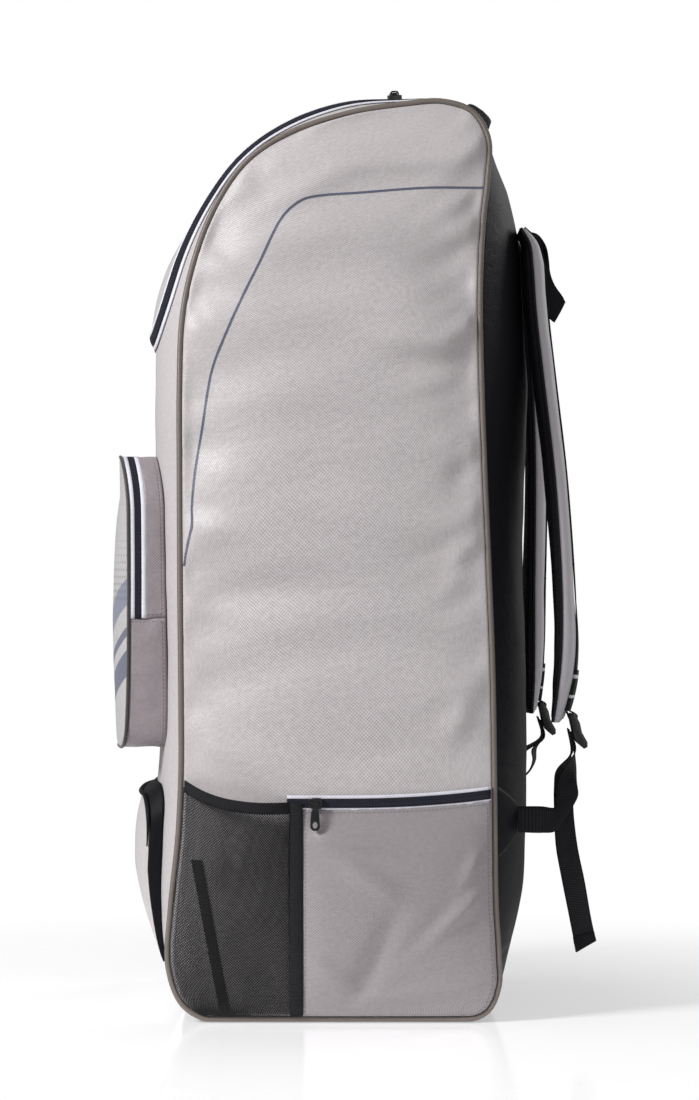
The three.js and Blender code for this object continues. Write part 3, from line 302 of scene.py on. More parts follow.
def finish_mesh(name, bm, material, slot, nodes=None):
    """Makes a piece from a bmesh in millimetres, and puts it in the frame in place of the node of its name, or of
    the nodes that are given."""
    bmesh.ops.scale(bm, vec=(MM, MM, MM), verts=bm.verts)
    mesh = bpy.data.meshes.new(name)
    for face in bm.faces:
        face.smooth = True
    bm.to_mesh(mesh)
    bm.free()
    mesh.materials.append(material)
    piece = new_object(name, mesh)
    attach(piece, "root")
    replaced = [name] if nodes is None else nodes
    if replaced:
        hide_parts(*replaced)
    return piece


def tiled(width, length):
    """UV in mm for a sheet with its columns over a width and its rows over a length."""
    return lambda row, column: (column * width, row * length)


def add_unit_grid(bm, rows, columns):
    middle = Matrix.Translation((0.5, 0.5, 0))
    bmesh.ops.create_grid(bm, x_segments=columns, y_segments=rows, size=0.5, matrix=middle)


def grid(rows, columns, place, tile, closed=False, edge=None, keep=None):
    """A bmesh grid whose points go to place(row, column), with shares from 0 to 1. tile gives its UV in mm, edge how
    far its edge is and how far along that runs, and keep which faces stay."""
    bm = bmesh.new()
    uv_layer = bm.loops.layers.uv.new("cloth")
    edge_layer = bm.loops.layers.uv.new("edge") if edge else None
    add_unit_grid(bm, rows, columns)
    if keep:
        middles = {face: face.calc_center_median() for face in bm.faces}
        dropped = [face for face, middle in middles.items() if not keep(middle.y, middle.x)]
        bmesh.ops.delete(bm, geom=dropped, context="FACES")
    for face in bm.faces:
        for loop in face.loops:
            row, column = loop.vert.co.y, loop.vert.co.x
            u, v = tile(row, column)
            loop[uv_layer].uv = (u * MM, v * MM)
            if edge:
                distance, along = edge(row, column)
                loop[edge_layer].uv = (distance * MM, along * MM)
    for vert in bm.verts:
        vert.co = place(vert.co.y, vert.co.x)
    if closed:
        bmesh.ops.remove_doubles(bm, verts=bm.verts, dist=0.01)
    return bm


def face_away(bm, centre=None):
    """Turns an open sheet's faces away from the middle of the bag."""
    bm.normal_update()
    total = 0.0
    for face in bm.faces:
        middle = face.calc_center_median()
        inside = centre or Vector((0, 0, clamp(middle.z, 150, 800)))
        total += face.normal.dot(middle - inside) * face.calc_area()
    if total < 0:
        bmesh.ops.reverse_faces(bm, faces=bm.faces)


def thicken(piece, thickness, offset=-1.0):
    solid = piece.modifiers.new("thickness", "SOLIDIFY")
    solid.thickness = thickness * MM
    solid.offset = offset


def cloth_piece(name, rows, columns, place, tile, material, slot, thickness=CLOTH, centre=None, **more):
    """A thick sheet that faces away from the middle of the bag, in place of the node of its name."""
    bm = grid(rows, columns, place, tile, **more)
    face_away(bm, centre)
    piece = finish_mesh(name, bm, material, slot)
    thicken(piece, thickness)
    return piece


def circle(count):
    """The cosine and sine of even steps round a circle."""
    turns = [i / count * 2 * math.pi for i in range(count)]
    return [(math.cos(turn), math.sin(turn)) for turn in turns]


def tube(name, rings, material, slot, loop=False, nodes=None):
    """A closed skin through rings of points."""
    size = len(rings[0])
    spine = [Vector(ring[0]) for ring in (rings + rings[:1] if loop else rings)]
    lengths = path_lengths(spine)
    around = path_lengths([Vector(point) for point in rings[0][-1:] + rings[0]])[-1]
    last = len(spine) - 1

    def place(row, column):
        ring = rings[round(row * last) % len(rings)]
        return ring[round(column * size) % size]

    bm = grid(last, size, place, lambda row, column: (column * around, lengths[round(row * last)]), closed=True)
    holes = [edge for edge in bm.edges if edge.is_boundary]
    if holes:
        bmesh.ops.holes_fill(bm, edges=holes)
    bmesh.ops.recalc_face_normals(bm, faces=bm.faces)
    return finish_mesh(name, bm, material, slot, nodes)


def spread(start, end, step):
    """Values from start to end, no more than a step apart."""
    count = max(1, math.ceil(abs(end - start) / step))
    return [mix(start, end, i / count) for i in range(count + 1)]


# Shader nodes


class Shader:
    """Builds a material's or a group's nodes."""

    def __init__(self, tree):
        self.tree = tree

    def node(self, kind, **values):
        made = self.tree.nodes.new(kind)
        for name, value in values.items():
            setattr(made, name, value)
        return made

    def link(self, source, target):
        self.tree.links.new(source, target)

    def put(self, value, socket):
        if hasattr(value, "is_output"):
            self.link(value, socket)
        else:
            socket.default_value = value

    def math(self, operation, *values):
        made = self.node("ShaderNodeMath", operation=operation)
        for value, socket in zip(values, made.inputs):
            self.put(value, socket)
        return made.outputs[0]

    def times(self, first, second):
        return self.math("MULTIPLY", first, second)

    def over(self, first, second):
        return self.math("DIVIDE", first, second)

    def apart(self, first, second):
        return self.math("ABSOLUTE", self.math("SUBTRACT", first, second))

    def split(self, vector):
        """A vector's X and Y."""
        made = self.node("ShaderNodeSeparateXYZ")
        self.link(vector, made.inputs[0])
        return made.outputs["X"], made.outputs["Y"]

    def wave(self, value):
        return self.math("SINE", self.times(value, 2 * math.pi))

    def noise(self, vector, scale, detail=2.0, roughness=0.5):
        made = self.node("ShaderNodeTexNoise")
        self.put(vector, made.inputs["Vector"])
        self.put(scale, made.inputs["Scale"])
        made.inputs["Detail"].default_value = detail
        made.inputs["Roughness"].default_value = roughness
        return made.outputs["Fac"]

    def ramp(self, value, low, high, low_to=0.0, high_to=1.0):
        made = self.node("ShaderNodeMapRange")
        for item, socket in zip((value, low, high, low_to, high_to), made.inputs):
            self.put(item, socket)
        return made.outputs[0]

    def blend(self, share, first, second):
        made = self.node("ShaderNodeMix", data_type="RGBA")
        self.put(share, made.inputs["Factor"])
        self.put(first, made.inputs["A"])
        self.put(second, made.inputs["B"])
        return made.outputs["Result"]

    def group(self, tree, **values):
        made = self.node("ShaderNodeGroup")
        made.node_tree = tree
        for name, value in values.items():
            self.put(value, made.inputs[name])
        return made.outputs

    def stretch(self, vector, scale, turn=0.0):
        made = self.node("ShaderNodeMapping")
        made.inputs["Scale"].default_value = scale
        made.inputs["Rotation"].default_value = (0, 0, turn)
        self.link(vector, made.inputs["Vector"])
        return made.outputs["Vector"]


VECTOR, FLOAT = "NodeSocketVector", "NodeSocketFloat"


def new_group(name, build, **inputs):
    """A node group with inputs of the given kinds. Its outputs are the numbers that build returns by name."""
    tree = bpy.data.node_groups.new(name, "ShaderNodeTree")
    for title, kind in inputs.items():
        tree.interface.new_socket(title, in_out="INPUT", socket_type=kind)
    shader = Shader(tree)
    made = build(shader, shader.node("NodeGroupInput").outputs)
    for title in made:
        tree.interface.new_socket(title, in_out="OUTPUT", socket_type=FLOAT)
    target = shader.node("NodeGroupOutput")
    for title, value in made.items():
        shader.link(value, target.inputs[title])
    return tree


def build_weave(shader, given):
    """Threads that pass over and under each other. Height is the relief and Thread the shade."""
    scaled = shader.node("ShaderNodeVectorMath", operation="DIVIDE")
    shader.link(given["Place"], scaled.inputs[0])
    shader.link(given["Pitch"], scaled.inputs[1])
    x, y = shader.split(scaled.outputs[0])
    uneven = shader.noise(scaled.outputs[0], 0.6, 3.0)
    height = shader.math("MULTIPLY_ADD", shader.times(shader.wave(x), shader.wave(y)), 0.5, 0.5)
    shade = shader.math("ADD", height, shader.ramp(uneven, 0.3, 0.7, -0.12, 0.12))
    return {"Height": height, "Thread": shader.ramp(shade, -0.2, 1.2)}


def build_creases(shader, given):
    """Soft creases of handled cloth, finer in some places than in others."""
    soft = shader.noise(given["Place"], 9.0, 3.0)
    bent = shader.node("ShaderNodeVectorMath", operation="MULTIPLY_ADD")
    shader.link(soft, bent.inputs[0])
    bent.inputs[1].default_value = (0.1, 0.1, 0.1)
    shader.link(given["Place"], bent.inputs[2])
    ridge = shader.noise(shader.stretch(bent.outputs[0], (14.0, 14.0, 34.0)), 1.0, 4.0, 0.55)
    height = shader.math("ADD", shader.times(shader.apart(ridge, 0.5), 1.6), shader.times(soft, 0.6))
    return {"Height": height, "Mask": shader.ramp(soft, 0.35, 0.65)}


def build_stitches(shader, given):
    """A dashed line of thread at a distance from an edge."""
    line = shader.ramp(shader.apart(given["Distance"], given["Inset"]), 0.0004, 0.0009, 1.0, 0.0)
    dash = shader.wave(shader.over(given["Along"], 0.0042))
    return {"Mask": shader.times(line, shader.ramp(dash, -0.6, -0.2)), "Height": shader.times(line, -0.5)}


def build_ribs(shader, given):
    """Ribs across a tape or webbing, with a fine thread along it."""
    x, y = shader.split(given["Place"])
    across = shader.wave(shader.over(x, given["Thread"]))
    rib = shader.math("MULTIPLY_ADD", shader.wave(shader.over(y, given["Rib"])), 0.5, 0.5)
    return {"Height": shader.math("ADD", rib, shader.times(across, 0.25)), "Mask": rib}


weave_group = new_group("weave", build_weave, Place=VECTOR, Pitch=VECTOR)
crease_group = new_group("creases", build_creases, Place=VECTOR)
stitch_group = new_group("stitches", build_stitches, Distance=FLOAT, Along=FLOAT, Inset=FLOAT)
rib_group = new_group("ribs", build_ribs, Place=VECTOR, Thread=FLOAT, Rib=FLOAT)


def linear(red, green, blue):
    """A display colour from 0 to 255 as the linear colour of a socket."""
    values = [c / 255 for c in (red, green, blue)]
    return (*[c / 12.92 if c <= 0.04045 else ((c + 0.055) / 1.055) ** 2.4 for c in values], 1.0)


def new_material(name, roughness, sheen=0.0, specular=0.5):
    material = bpy.data.materials.new(name)
    material.use_nodes = True
    surface = material.node_tree.nodes["Principled BSDF"]
    surface.inputs["Roughness"].default_value = roughness
    surface.inputs["Sheen Weight"].default_value = sheen
    surface.inputs["Specular IOR Level"].default_value = specular
    return material, Shader(material.node_tree), surface


def reopen(material):
    """A finished material's shader, surface and colour, to paint over the colour."""
    surface = material.node_tree.nodes["Principled BSDF"]
    return Shader(material.node_tree), surface, surface.inputs["Base Color"].links[0].from_socket


def uv_place(shader, layer="cloth"):
    return shader.node("ShaderNodeUVMap", uv_map=layer).outputs["UV"]


def object_place(shader):
    return shader.node("ShaderNodeTexCoord").outputs["Object"]


def add_bump(shader, surface, heights):
    """Chains bumps, each a height, its strength and its distance in mm."""
    normal = None
    for height, strength, distance in heights:
        bump = shader.node("ShaderNodeBump")
        bump.inputs["Strength"].default_value = strength
        bump.inputs["Distance"].default_value = distance * MM
        shader.put(height, bump.inputs["Height"])
        if normal:
            shader.link(normal, bump.inputs["Normal"])
        normal = bump.outputs["Normal"]
    shader.link(normal, surface.inputs["Normal"])


def woven(name, colour, thread, pitch, turn, roughness, sheen, relief=0.22, creases=1.0, stitch=None,
          specular=0.5):
    """Woven cloth: colour and thread colour, its weave's pitch in mm and turn, its creases and a line of stitches."""
    material, shader, surface = new_material(name, roughness, sheen, specular)
    place = shader.stretch(uv_place(shader), (1, 1, 1), turn)
    weave = shader.group(weave_group, Place=place, Pitch=tuple(p * MM for p in pitch))
    crease = shader.group(crease_group, Place=object_place(shader))
    worn = shader.blend(weave["Thread"], colour, thread)
    worn = shader.blend(shader.times(crease["Mask"], 0.07), worn, thread)
    heights = [(crease["Height"], 0.22 * creases, 5.0), (weave["Height"], 0.8, relief)]
    if stitch:
        distance, along = shader.split(uv_place(shader, "edge"))
        sewn = shader.group(stitch_group, Distance=distance, Along=along, Inset=stitch[0] * MM)
        worn = shader.blend(shader.times(sewn["Mask"], 0.85), worn, stitch[1])
        heights.append((sewn["Height"], 0.6, 0.8))
    shader.link(worn, surface.inputs["Base Color"])
    rough = shader.ramp(weave["Thread"], 0.0, 1.0, roughness - 0.08, roughness + 0.1)
    shader.link(rough, surface.inputs["Roughness"])
    add_bump(shader, surface, heights)
    return material


def ribbed(name, colour, light, rib, thread, roughness=0.7, sheen=0.0, relief=0.5, teeth=None, tacks=None,
           specular=0.5):
    """A tape or webbing with ribs across it, a coil of teeth down its middle or bars of thread over it."""
    material, shader, surface = new_material(name, roughness, sheen, specular)
    place = uv_place(shader)
    x, y = shader.split(place)
    ribs = shader.group(rib_group, Place=place, Thread=thread * MM, Rib=rib * MM)
    worn = shader.ramp(shader.noise(object_place(shader), 60.0, 3.0), 0.3, 0.7, 0.5, 1.0)
    base = shader.blend(shader.times(ribs["Mask"], worn), colour, light)
    heights = [(ribs["Height"], 0.8, relief)]
    if teeth:
        middle, half, pitch, shine = teeth
        inside = shader.ramp(shader.apart(x, middle * MM), half * 0.8 * MM, half * MM, 1.0, 0.0)
        tooth = shader.wave(shader.over(y, pitch * MM))
        coil = shader.times(inside, shader.ramp(tooth, -0.5, 0.5))
        base = shader.blend(coil, base, shine)
        heights.append((coil, 1.0, 1.0))
    if tacks:
        places, white = tacks
        for spot in places:
            bar = shader.ramp(shader.apart(y, spot * MM), 1.4 * MM, 1.9 * MM, 1.0, 0.0)
            zigzag = shader.ramp(shader.wave(shader.over(x, 1.6 * MM)), -0.9, -0.3, 0.55, 1.0)
            base = shader.blend(shader.times(bar, zigzag), base, white)
            heights.append((bar, 0.8, 0.6))
    shader.link(base, surface.inputs["Base Color"])
    add_bump(shader, surface, heights)
    return material


def moulded(name, colour, roughness):
    """Moulded plastic with a fine grain and lighter worn edges."""
    material, shader, surface = new_material(name, roughness)
    place = object_place(shader)
    grain = shader.noise(place, 900.0, 2.0)
    scuff = shader.noise(place, 90.0, 4.0)
    lighter = shader.blend(shader.ramp(scuff, 0.55, 0.75, 0.0, 0.25), colour, linear(96, 96, 102))
    shader.link(lighter, surface.inputs["Base Color"])
    shader.link(shader.ramp(scuff, 0.3, 0.8, roughness - 0.08, roughness + 0.15), surface.inputs["Roughness"])
    add_bump(shader, surface, [(grain, 0.25, 0.12)])
    return material


def add_seam_shade(material):
    """Darkens a cord's cloth where it is sewn in, on the sides away from its crown."""
    shader, surface, cloth = reopen(material)
    x, _ = shader.split(uv_place(shader))
    girth = math.pi * PIPING * MM
    crown = shader.apart(shader.apart(shader.over(x, girth), 0.5), 0.25)
    dark = shader.blend(shader.ramp(crown, 0.13, 0.18, 0.0, 0.85), cloth, linear(30, 28, 28))
    shader.link(dark, surface.inputs["Base Color"])


# Finishes

GREIGE, GREIGE_THREAD = linear(221, 215, 216), linear(143, 137, 138)
TAUPE, TAUPE_THREAD = linear(170, 163, 166), linear(116, 110, 113)
MAUVE, MAUVE_THREAD = linear(170, 160, 165), linear(106, 98, 102)
STRAP_GREY, STRAP_THREAD = linear(203, 198, 204), linear(172, 167, 174)
BLACK, BLACK_THREAD = linear(10, 10, 14), linear(22, 21, 27)
NAVY, SLATE = linear(20, 21, 32), linear(92, 97, 116)
WHITE, WHITE_SHADE = linear(240, 240, 247), linear(205, 205, 216)
BROWN, BROWN_SHADE = linear(126, 115, 108), linear(92, 83, 78)
DIAGONAL = math.pi / 4

BODY_WEAVE, PRINT_WEAVE = (2.6, 2.5, 2.6), (3.2, 3.0, 3.2)

body_cloth = woven("body_cloth", GREIGE, GREIGE_THREAD, BODY_WEAVE, 0.0, 0.44, 0.2, relief=0.14)
top_cloth = woven("top_cloth", GREIGE, GREIGE_THREAD, BODY_WEAVE, 0.0, 0.44, 0.2, relief=0.14, creases=0.7)
cool_cloth = woven("cool_cloth", TAUPE, TAUPE_THREAD, (2.8, 2.6, 2.8), 0.0, 0.4, 0.2, stitch=(3.5, TAUPE_THREAD))
gusset_cloth = woven("gusset_cloth", MAUVE, MAUVE_THREAD, (3.0, 2.8, 3.0), 0.0, 0.38, 0.25,
                     stitch=(3.5, MAUVE_THREAD))
strap_cloth = woven("strap_cloth", STRAP_GREY, STRAP_THREAD, (1.3, 1.3, 1.3), 0.0, 0.5, 0.25, creases=0.8)
black_cloth = woven("black_cloth", BLACK, BLACK_THREAD, (2.4, 2.4, 2.4), 0.0, 0.55, 0.0, creases=1.2,
                    specular=0.13)
spacer_mesh = woven("spacer_mesh", BLACK, linear(48, 44, 52), (3.2, 3.2, 3.2), DIAGONAL, 0.8, 0.0, relief=1.1,
                    specular=0.2)
net_thread = woven("net_thread", linear(14, 14, 17), linear(26, 26, 30), (0.8, 0.8, 0.8), 0.0, 0.6, 0.0,
                   creases=0.0, specular=0.4)
piping_cloth = woven("piping_cloth", BROWN, BROWN_SHADE, (1.6, 1.6, 1.6), DIAGONAL, 0.4, 0.15, creases=0.3)
add_seam_shade(piping_cloth)
printed_line = woven("printed_line", SLATE, linear(74, 79, 98), (2.3, 2.3, 2.3), DIAGONAL, 0.45, 0.1)
WEBBING_LOOK = (linear(12, 12, 15), linear(34, 34, 39), 2.0, 1.3)
webbing = ribbed("webbing", *WEBBING_LOOK, specular=0.25)
tacked_webbing = ribbed("tacked_webbing", *WEBBING_LOOK, tacks=((6, 26), WHITE), specular=0.25)
zip_tape = ribbed("zip_tape", NAVY, linear(34, 36, 50), 1.0, 0.9, relief=0.3,
                  teeth=(TAPE / 2, 1.9, 1.5, linear(46, 48, 62)), specular=0.25)
zip_edge = ribbed("zip_edge", WHITE_SHADE, WHITE, 1.3, 1.1, 0.45, 0.3, relief=0.25)
black_plastic = moulded("black_plastic", linear(9, 9, 11), 0.42)

# The front pocket's print: its bands of slate by how high they start and end at the middle, in metres.
BANDS = ((0.02, 0.048, SLATE), (0.062, 0.072, SLATE), (0.094, 0.122, linear(120, 125, 142)))
DOT_PITCH = 0.0075
DOTS_START, DOTS_END = 0.15, 0.24


def add_print():
    """Plain slate bands and a field of small dots over light cloth, for the front pocket's face."""
    material = woven("pocket_print", linear(208, 206, 208), GREIGE_THREAD, PRINT_WEAVE, 0.0, 0.42, 0.2)
    shader, surface, colour = reopen(material)
    across, along = shader.split(uv_place(shader))
    rise = shader.math("MULTIPLY_ADD", shader.math("ABSOLUTE", across), -0.45, along)
    for low, high, tint in BANDS:
        middle, half = (low + high) / 2, (high - low) / 2
        band_share = shader.ramp(shader.apart(rise, middle), half - 0.0004, half + 0.0004, 1.0, 0.0)
        colour = shader.blend(band_share, colour, tint)
    row = shader.over(along, DOT_PITCH)
    slide = shader.times(shader.math("MODULO", shader.math("FLOOR", row), 2.0), 0.5)
    column = shader.math("ADD", shader.over(across, DOT_PITCH), slide)
    dx = shader.math("SUBTRACT", shader.math("FRACT", shader.math("ADD", column, 100.0)), 0.5)
    dy = shader.math("SUBTRACT", shader.math("FRACT", row), 0.5)
    square = shader.math("ADD", shader.math("POWER", dx, 2.0), shader.math("POWER", dy, 2.0))
    size = shader.ramp(along, DOTS_START, DOTS_END, 0.27, 0.05)
    dot = shader.math("LESS_THAN", shader.math("POWER", square, 0.5), size)
    after, before = shader.math("GREATER_THAN", along, DOTS_START), shader.math("LESS_THAN", along, DOTS_END)
    share = shader.times(shader.times(dot, shader.times(after, before)), 0.75)
    shader.link(shader.blend(share, colour, SLATE), surface.inputs["Base Color"])
    return material


# Shape of the cloth


def wrinkle(point, size, seed):
    """Smooth noise from -1 to 1, with folds about a size apart."""
    return noise.noise(Vector(point) / size + Vector((seed, seed * 1.7, 0)))


def crumple(point, amount):
    """How far cloth stands off its smooth shape at a place on the bag."""
    broad = wrinkle(point, 110, 3.1) * 1.6
    ripple = wrinkle((point[0], point[1] * 0.45, point[2] * 1.6), 60, 8.4) * 0.8
    return amount * (broad + ripple)


def pucker(distance, along):
    """Small gathers where cloth is sewn to the corded seam."""
    return math.exp(-max(distance, 0) / 12) * wrinkle((along, 0, 0), 9, 2.3) * 0.9


OUTLINE_STEP = 2
OUTLINE = [band.seam(along) for along in spread(0, band.loop, OUTLINE_STEP)]


def outline_depths(height):
    """The seam's Y at a height, at the front and at the back."""
    depths = []
    for here, after in zip(OUTLINE, OUTLINE[1:]):
        if (here[1] - height) * (after[1] - height) > 0 or here[1] == after[1]:
            continue
        depths.append(mix(here[0], after[0], (height - here[1]) / (after[1] - here[1])))
    return (min(depths), max(depths)) if depths else (0, 0)


LEVELS = [outline_depths(max(height, SEAM_REST + 0.01)) for height in range(HEIGHT)]


def edge_depth(height, back):
    """The seam's Y at a height, at the back or at the front."""
    place = clamp(height, 4, HEIGHT - 4)
    before = int(place)
    side = 1 if back else 0
    return mix(LEVELS[before][side], LEVELS[before + 1][side], place - before)


# Folds of the side panels: middle and half sizes as shares of DEPTH and HEIGHT, degrees from level, and rise as a
# share of SIDE_BULGE.
SIDE_FOLDS = [
    (0.39, 0.79, 0.2, 0.035, -50, -0.3),
    (0.33, 0.73, 0.22, 0.03, -20, 0.22),
    (-0.28, 0.475, 0.3, 0.018, -6, -0.2),
    (-0.25, 0.505, 0.24, 0.02, -4, 0.14),
    (-0.2, 0.275, 0.24, 0.03, -14, 0.25),
    (0.1, 0.31, 0.3, 0.03, 12, -0.2),
    (0.36, 0.27, 0.16, 0.05, 55, -0.25),
]
# Narrower folds that only show in the cloth.
FINE_FOLDS = [
    (0.3, 0.735, 0.2, 0.013, -8, 0.11),
    (0.34, 0.7, 0.12, 0.011, 18, 0.09),
    (-0.36, 0.535, 0.13, 0.011, -12, 0.1),
    (-0.33, 0.465, 0.15, 0.011, 4, -0.1),
    (-0.3, 0.44, 0.14, 0.009, -14, 0.08),
    (-0.34, 0.29, 0.14, 0.013, -28, 0.12),
    (-0.24, 0.265, 0.16, 0.011, -20, -0.1),
    (-0.02, 0.275, 0.16, 0.011, -16, 0.1),
    (0.12, 0.29, 0.18, 0.011, 10, -0.09),
    (0.38, 0.33, 0.1, 0.014, 60, 0.1),
    (0.4, 0.6, 0.08, 0.018, 75, -0.1),
    (0.38, 0.5, 0.07, 0.014, 65, 0.08),
    (-0.1, 0.9, 0.18, 0.013, 24, 0.08),
    (0.2, 0.93, 0.2, 0.011, 4, 0.07),
]


def folds(y, z, rows):
    """How far a list of folds lifts the cloth at a place on the side."""
    total = 0.0
    for depth, height, length, width, degrees, rise in rows:
        turn = math.radians(degrees)
        dy, dz = y - depth * DEPTH, z - height * HEIGHT
        lengthwise = (dy * math.cos(turn) + dz * math.sin(turn)) / (length * DEPTH)
        crosswise = (dz * math.cos(turn) - dy * math.sin(turn)) / (width * HEIGHT)
        total += rise * SIDE_BULGE * math.exp(-(lengthwise**2 + crosswise**2))
    return total


def side_share(y, z):
    """How far a place is from the front seam to the back one."""
    front, back = edge_depth(z, False), edge_depth(z, True)
    return clamp((y - front) / (back - front), 0, 1)


def side_face(y, z):
    """How far the smooth side panel's outer face is from the middle of the bag."""
    share = side_share(y, z)
    fill = (1 - abs(2 * share - 1) ** 2.6) * (1 - abs(2 * z / HEIGHT - 1) ** 6)
    return WIDTH / 2 + CLOTH / 2 + fill * (SIDE_BULGE + folds(y, z, SIDE_FOLDS))


def drape(distance, along, bare):
    """Loose folds that run in from a seam and die out, bare being 0 where a pocket lies on the cloth."""
    near = wrinkle((along + 0.45 * distance, distance * 0.25, 4.0), 24, 6.1) * math.exp(-distance / 34) * 9
    far = wrinkle((along - 0.2 * distance, distance * 0.2, 9.0), 46, 1.7) * math.exp(-distance / 120) * 13
    return (near + far) * smooth(distance, 0, 16) * bare


def side_cloth(y, z, side=1):
    """The side panel's outer face with its folds and gathers."""
    share = side_share(y, z)
    hold = smooth(min(share, 1 - share), 0, 0.12) * smooth(min(z, HEIGHT - z), 0, 60)
    distance = min(share, 1 - share) * DEPTH
    top = MESH_HEIGHT + MESH_RISE
    bare = smooth(z, top + 4, top + 50) if side > 0 else 1
    fine = (2 * folds(y * side, z, FINE_FOLDS) + crumple((side * 120, y, z), 1.4)) * mix(0.3, 1, bare)
    loose = drape(share * DEPTH, z, bare) + drape((1 - share) * DEPTH, z + HEIGHT, bare)
    return side_face(y, z) + fine * hold + loose * hold**0.3 + pucker(distance, z) * (1 - hold * 0.5)


EDGE_INSET = PIPING / 2


def inset_seam(along):
    y, z, _, normal_y, normal_z = band.seam(along)
    return Vector((y - normal_y * EDGE_INSET, z - normal_z * EDGE_INSET))


def seam_stretch(first, last):
    return lambda share: inset_seam(band.station(mix(first, last, share)))


front_edge = seam_stretch(ROWS["toe"], ROWS["crown"])
back_edge = seam_stretch(ROWS["heel"], ROWS["shoulder"])
top_edge = seam_stretch(ROWS["crown"], ROWS["shoulder"])
base_edge = seam_stretch(LAST_ROW, ROWS["heel"])


def side_place(row, column):
    """The Y and Z of a point of the side panel, whose rows and columns follow the seam round it."""
    level = [front_edge(share).lerp(back_edge(share), column) for share in (0, row, 1)]
    low = (base_edge(column) - level[0]) * (1 - row)
    high = (top_edge(column) - level[2]) * row
    return level[1] + low + high


# Shell

SIDE_ROWS, SIDE_COLUMNS = 170, 64
BAND_COLUMNS = 48
PIPING_STEP = 6


def add_side_panel(side, name):
    def place(row, column):
        y, z = side_place(row, column)
        return Vector((side * side_cloth(y, z, side), y, z))

    cloth_piece(name, SIDE_ROWS, SIDE_COLUMNS, place, tiled(DEPTH, HEIGHT), body_cloth, "body_cloth")


def add_side_piping(side, name):
    rings = []
    for along in spread(0, band.loop, PIPING_STEP)[:-1]:
        y, z, _, normal_y, normal_z = band.seam(along)
        middle = WIDTH / 2 + wrinkle((along, side * 40, 0), 30, 1.5) * 0.5
        ring = [(middle + beside * PIPING / 2, out * PIPING / 2) for out, beside in circle(12)]
        rings.append([(side * x, y + normal_y * out, max(z + normal_z * out, 0.2)) for x, out in ring])
    tube(name, rings, piping_cloth, "piping", loop=True)


MAIN_ZIP_FOOT = band.station_at(HEIGHT - FLAP_DROP, TOE, CROWN)
MAIN_ZIP_HALF = WIDTH / 2 - MAIN_ZIP_INSET
ZIP_HALF = TAPE / 2 + EDGE + 2 * GAP
EDGE_OFFSET = TAPE / 2 + EDGE / 2 + GAP
FLAP_STAND = 6


def flap_stand(along, inward):
    """How far the flap and its zip stand off the band, inward being the distance inside the zip's outer edge."""
    return FLAP_STAND * smooth(inward, 0, 2 * ZIP_HALF) * smooth(TOP_SEAM - along, 0, 150)


def band_lift(along, across, hold_along):
    """Folds of a band panel, held flat at its seams."""
    inside = smooth(BAND_EDGE - abs(across), 0, 34) * hold_along * smooth(main_zip_distance(along, across), 9, 30)
    point = band.point(along, across)
    stand = flap_stand(along, main_zip_distance(along, across) + ZIP_HALF) if in_flap(along, across) else 0
    return crumple(point, 0.8) * inside + pucker(BAND_EDGE - abs(across), along) * 0.8 + stand


def main_zip_distance(along, across):
    """How far a place on the band is from the main zip, nearly."""
    beside = abs(abs(across) - MAIN_ZIP_HALF) if along > MAIN_ZIP_FOOT + MAIN_ZIP_RADIUS else DEPTH
    if along > MAIN_ZIP_FOOT + MAIN_ZIP_RADIUS or along < MAIN_ZIP_FOOT - 60:
        return beside
    if abs(across) < MAIN_ZIP_HALF - MAIN_ZIP_RADIUS:
        return abs(along - MAIN_ZIP_FOOT)
    corner_x = abs(across) - (MAIN_ZIP_HALF - MAIN_ZIP_RADIUS)
    corner_y = along - (MAIN_ZIP_FOOT + MAIN_ZIP_RADIUS)
    return abs(math.hypot(corner_x, min(corner_y, 0)) - MAIN_ZIP_RADIUS)


def add_band_panel(name, start, end, material, slot, thickness=CLOTH, step=7, keep=None, calm=1.0):
    def where(row, column):
        return mix(start, end, row), (2 * column - 1) * BAND_EDGE

    def place(row, column):
        along, across = where(row, column)
        hold = smooth(min(along - start, end - along), 0, 18)
        return band.point(along, across, calm * band_lift(along, across, hold))

    return cloth_piece(
        name, len(spread(start, end, step)) - 1, BAND_COLUMNS, place,
        lambda row, column: (column * WIDTH, mix(start, end, row)), material, slot, thickness,
        keep=keep and (lambda row, column: keep(*where(row, column))),
    )


def corner_cut(distance, radius):
    """How far a rounded corner draws a side in, at a distance from the end."""
    short = max(radius - max(distance, 0), 0)
    return radius - math.sqrt(radius**2 - short**2)


def in_flap(along, across):
    """Whether a place on the band is inside the main zip."""
    if along < MAIN_ZIP_FOOT:
        return False
    return abs(across) < MAIN_ZIP_HALF - corner_cut(along - MAIN_ZIP_FOOT, MAIN_ZIP_RADIUS)


PATH_STEP = 5


def u_path(start, turn, half, radius):
    """A U on the band: up one side from its open end, round two corners and back. Points are across and along."""
    way = 1 if turn > start else -1
    points = [(half, along) for along in spread(start, turn - way * radius, PATH_STEP)]
    corner = [(math.cos(a) * radius, math.sin(a) * radius) for a in spread(0, math.pi / 2, PATH_STEP / radius)]
    points += [(half - radius + x, turn + way * (y - radius)) for x, y in corner[1:]]
    points += [(across, turn) for across in spread(half - radius, radius - half, PATH_STEP)[1:]]
    points += [(radius - half - x, turn + way * (y - radius)) for x, y in corner[::-1][1:]]
    points += [(-half, along) for along in spread(turn - way * radius, start, PATH_STEP)[1:]]
    return [Vector(point) for point in points]


def path_side(path, i):
    """The direction across a path at one of its points: out of a U that turns above its open end, and into one
    that turns below it."""
    run = (path[min(i + 1, len(path) - 1)] - path[max(i - 1, 0)]).normalized()
    return Vector((run.y, -run.x))


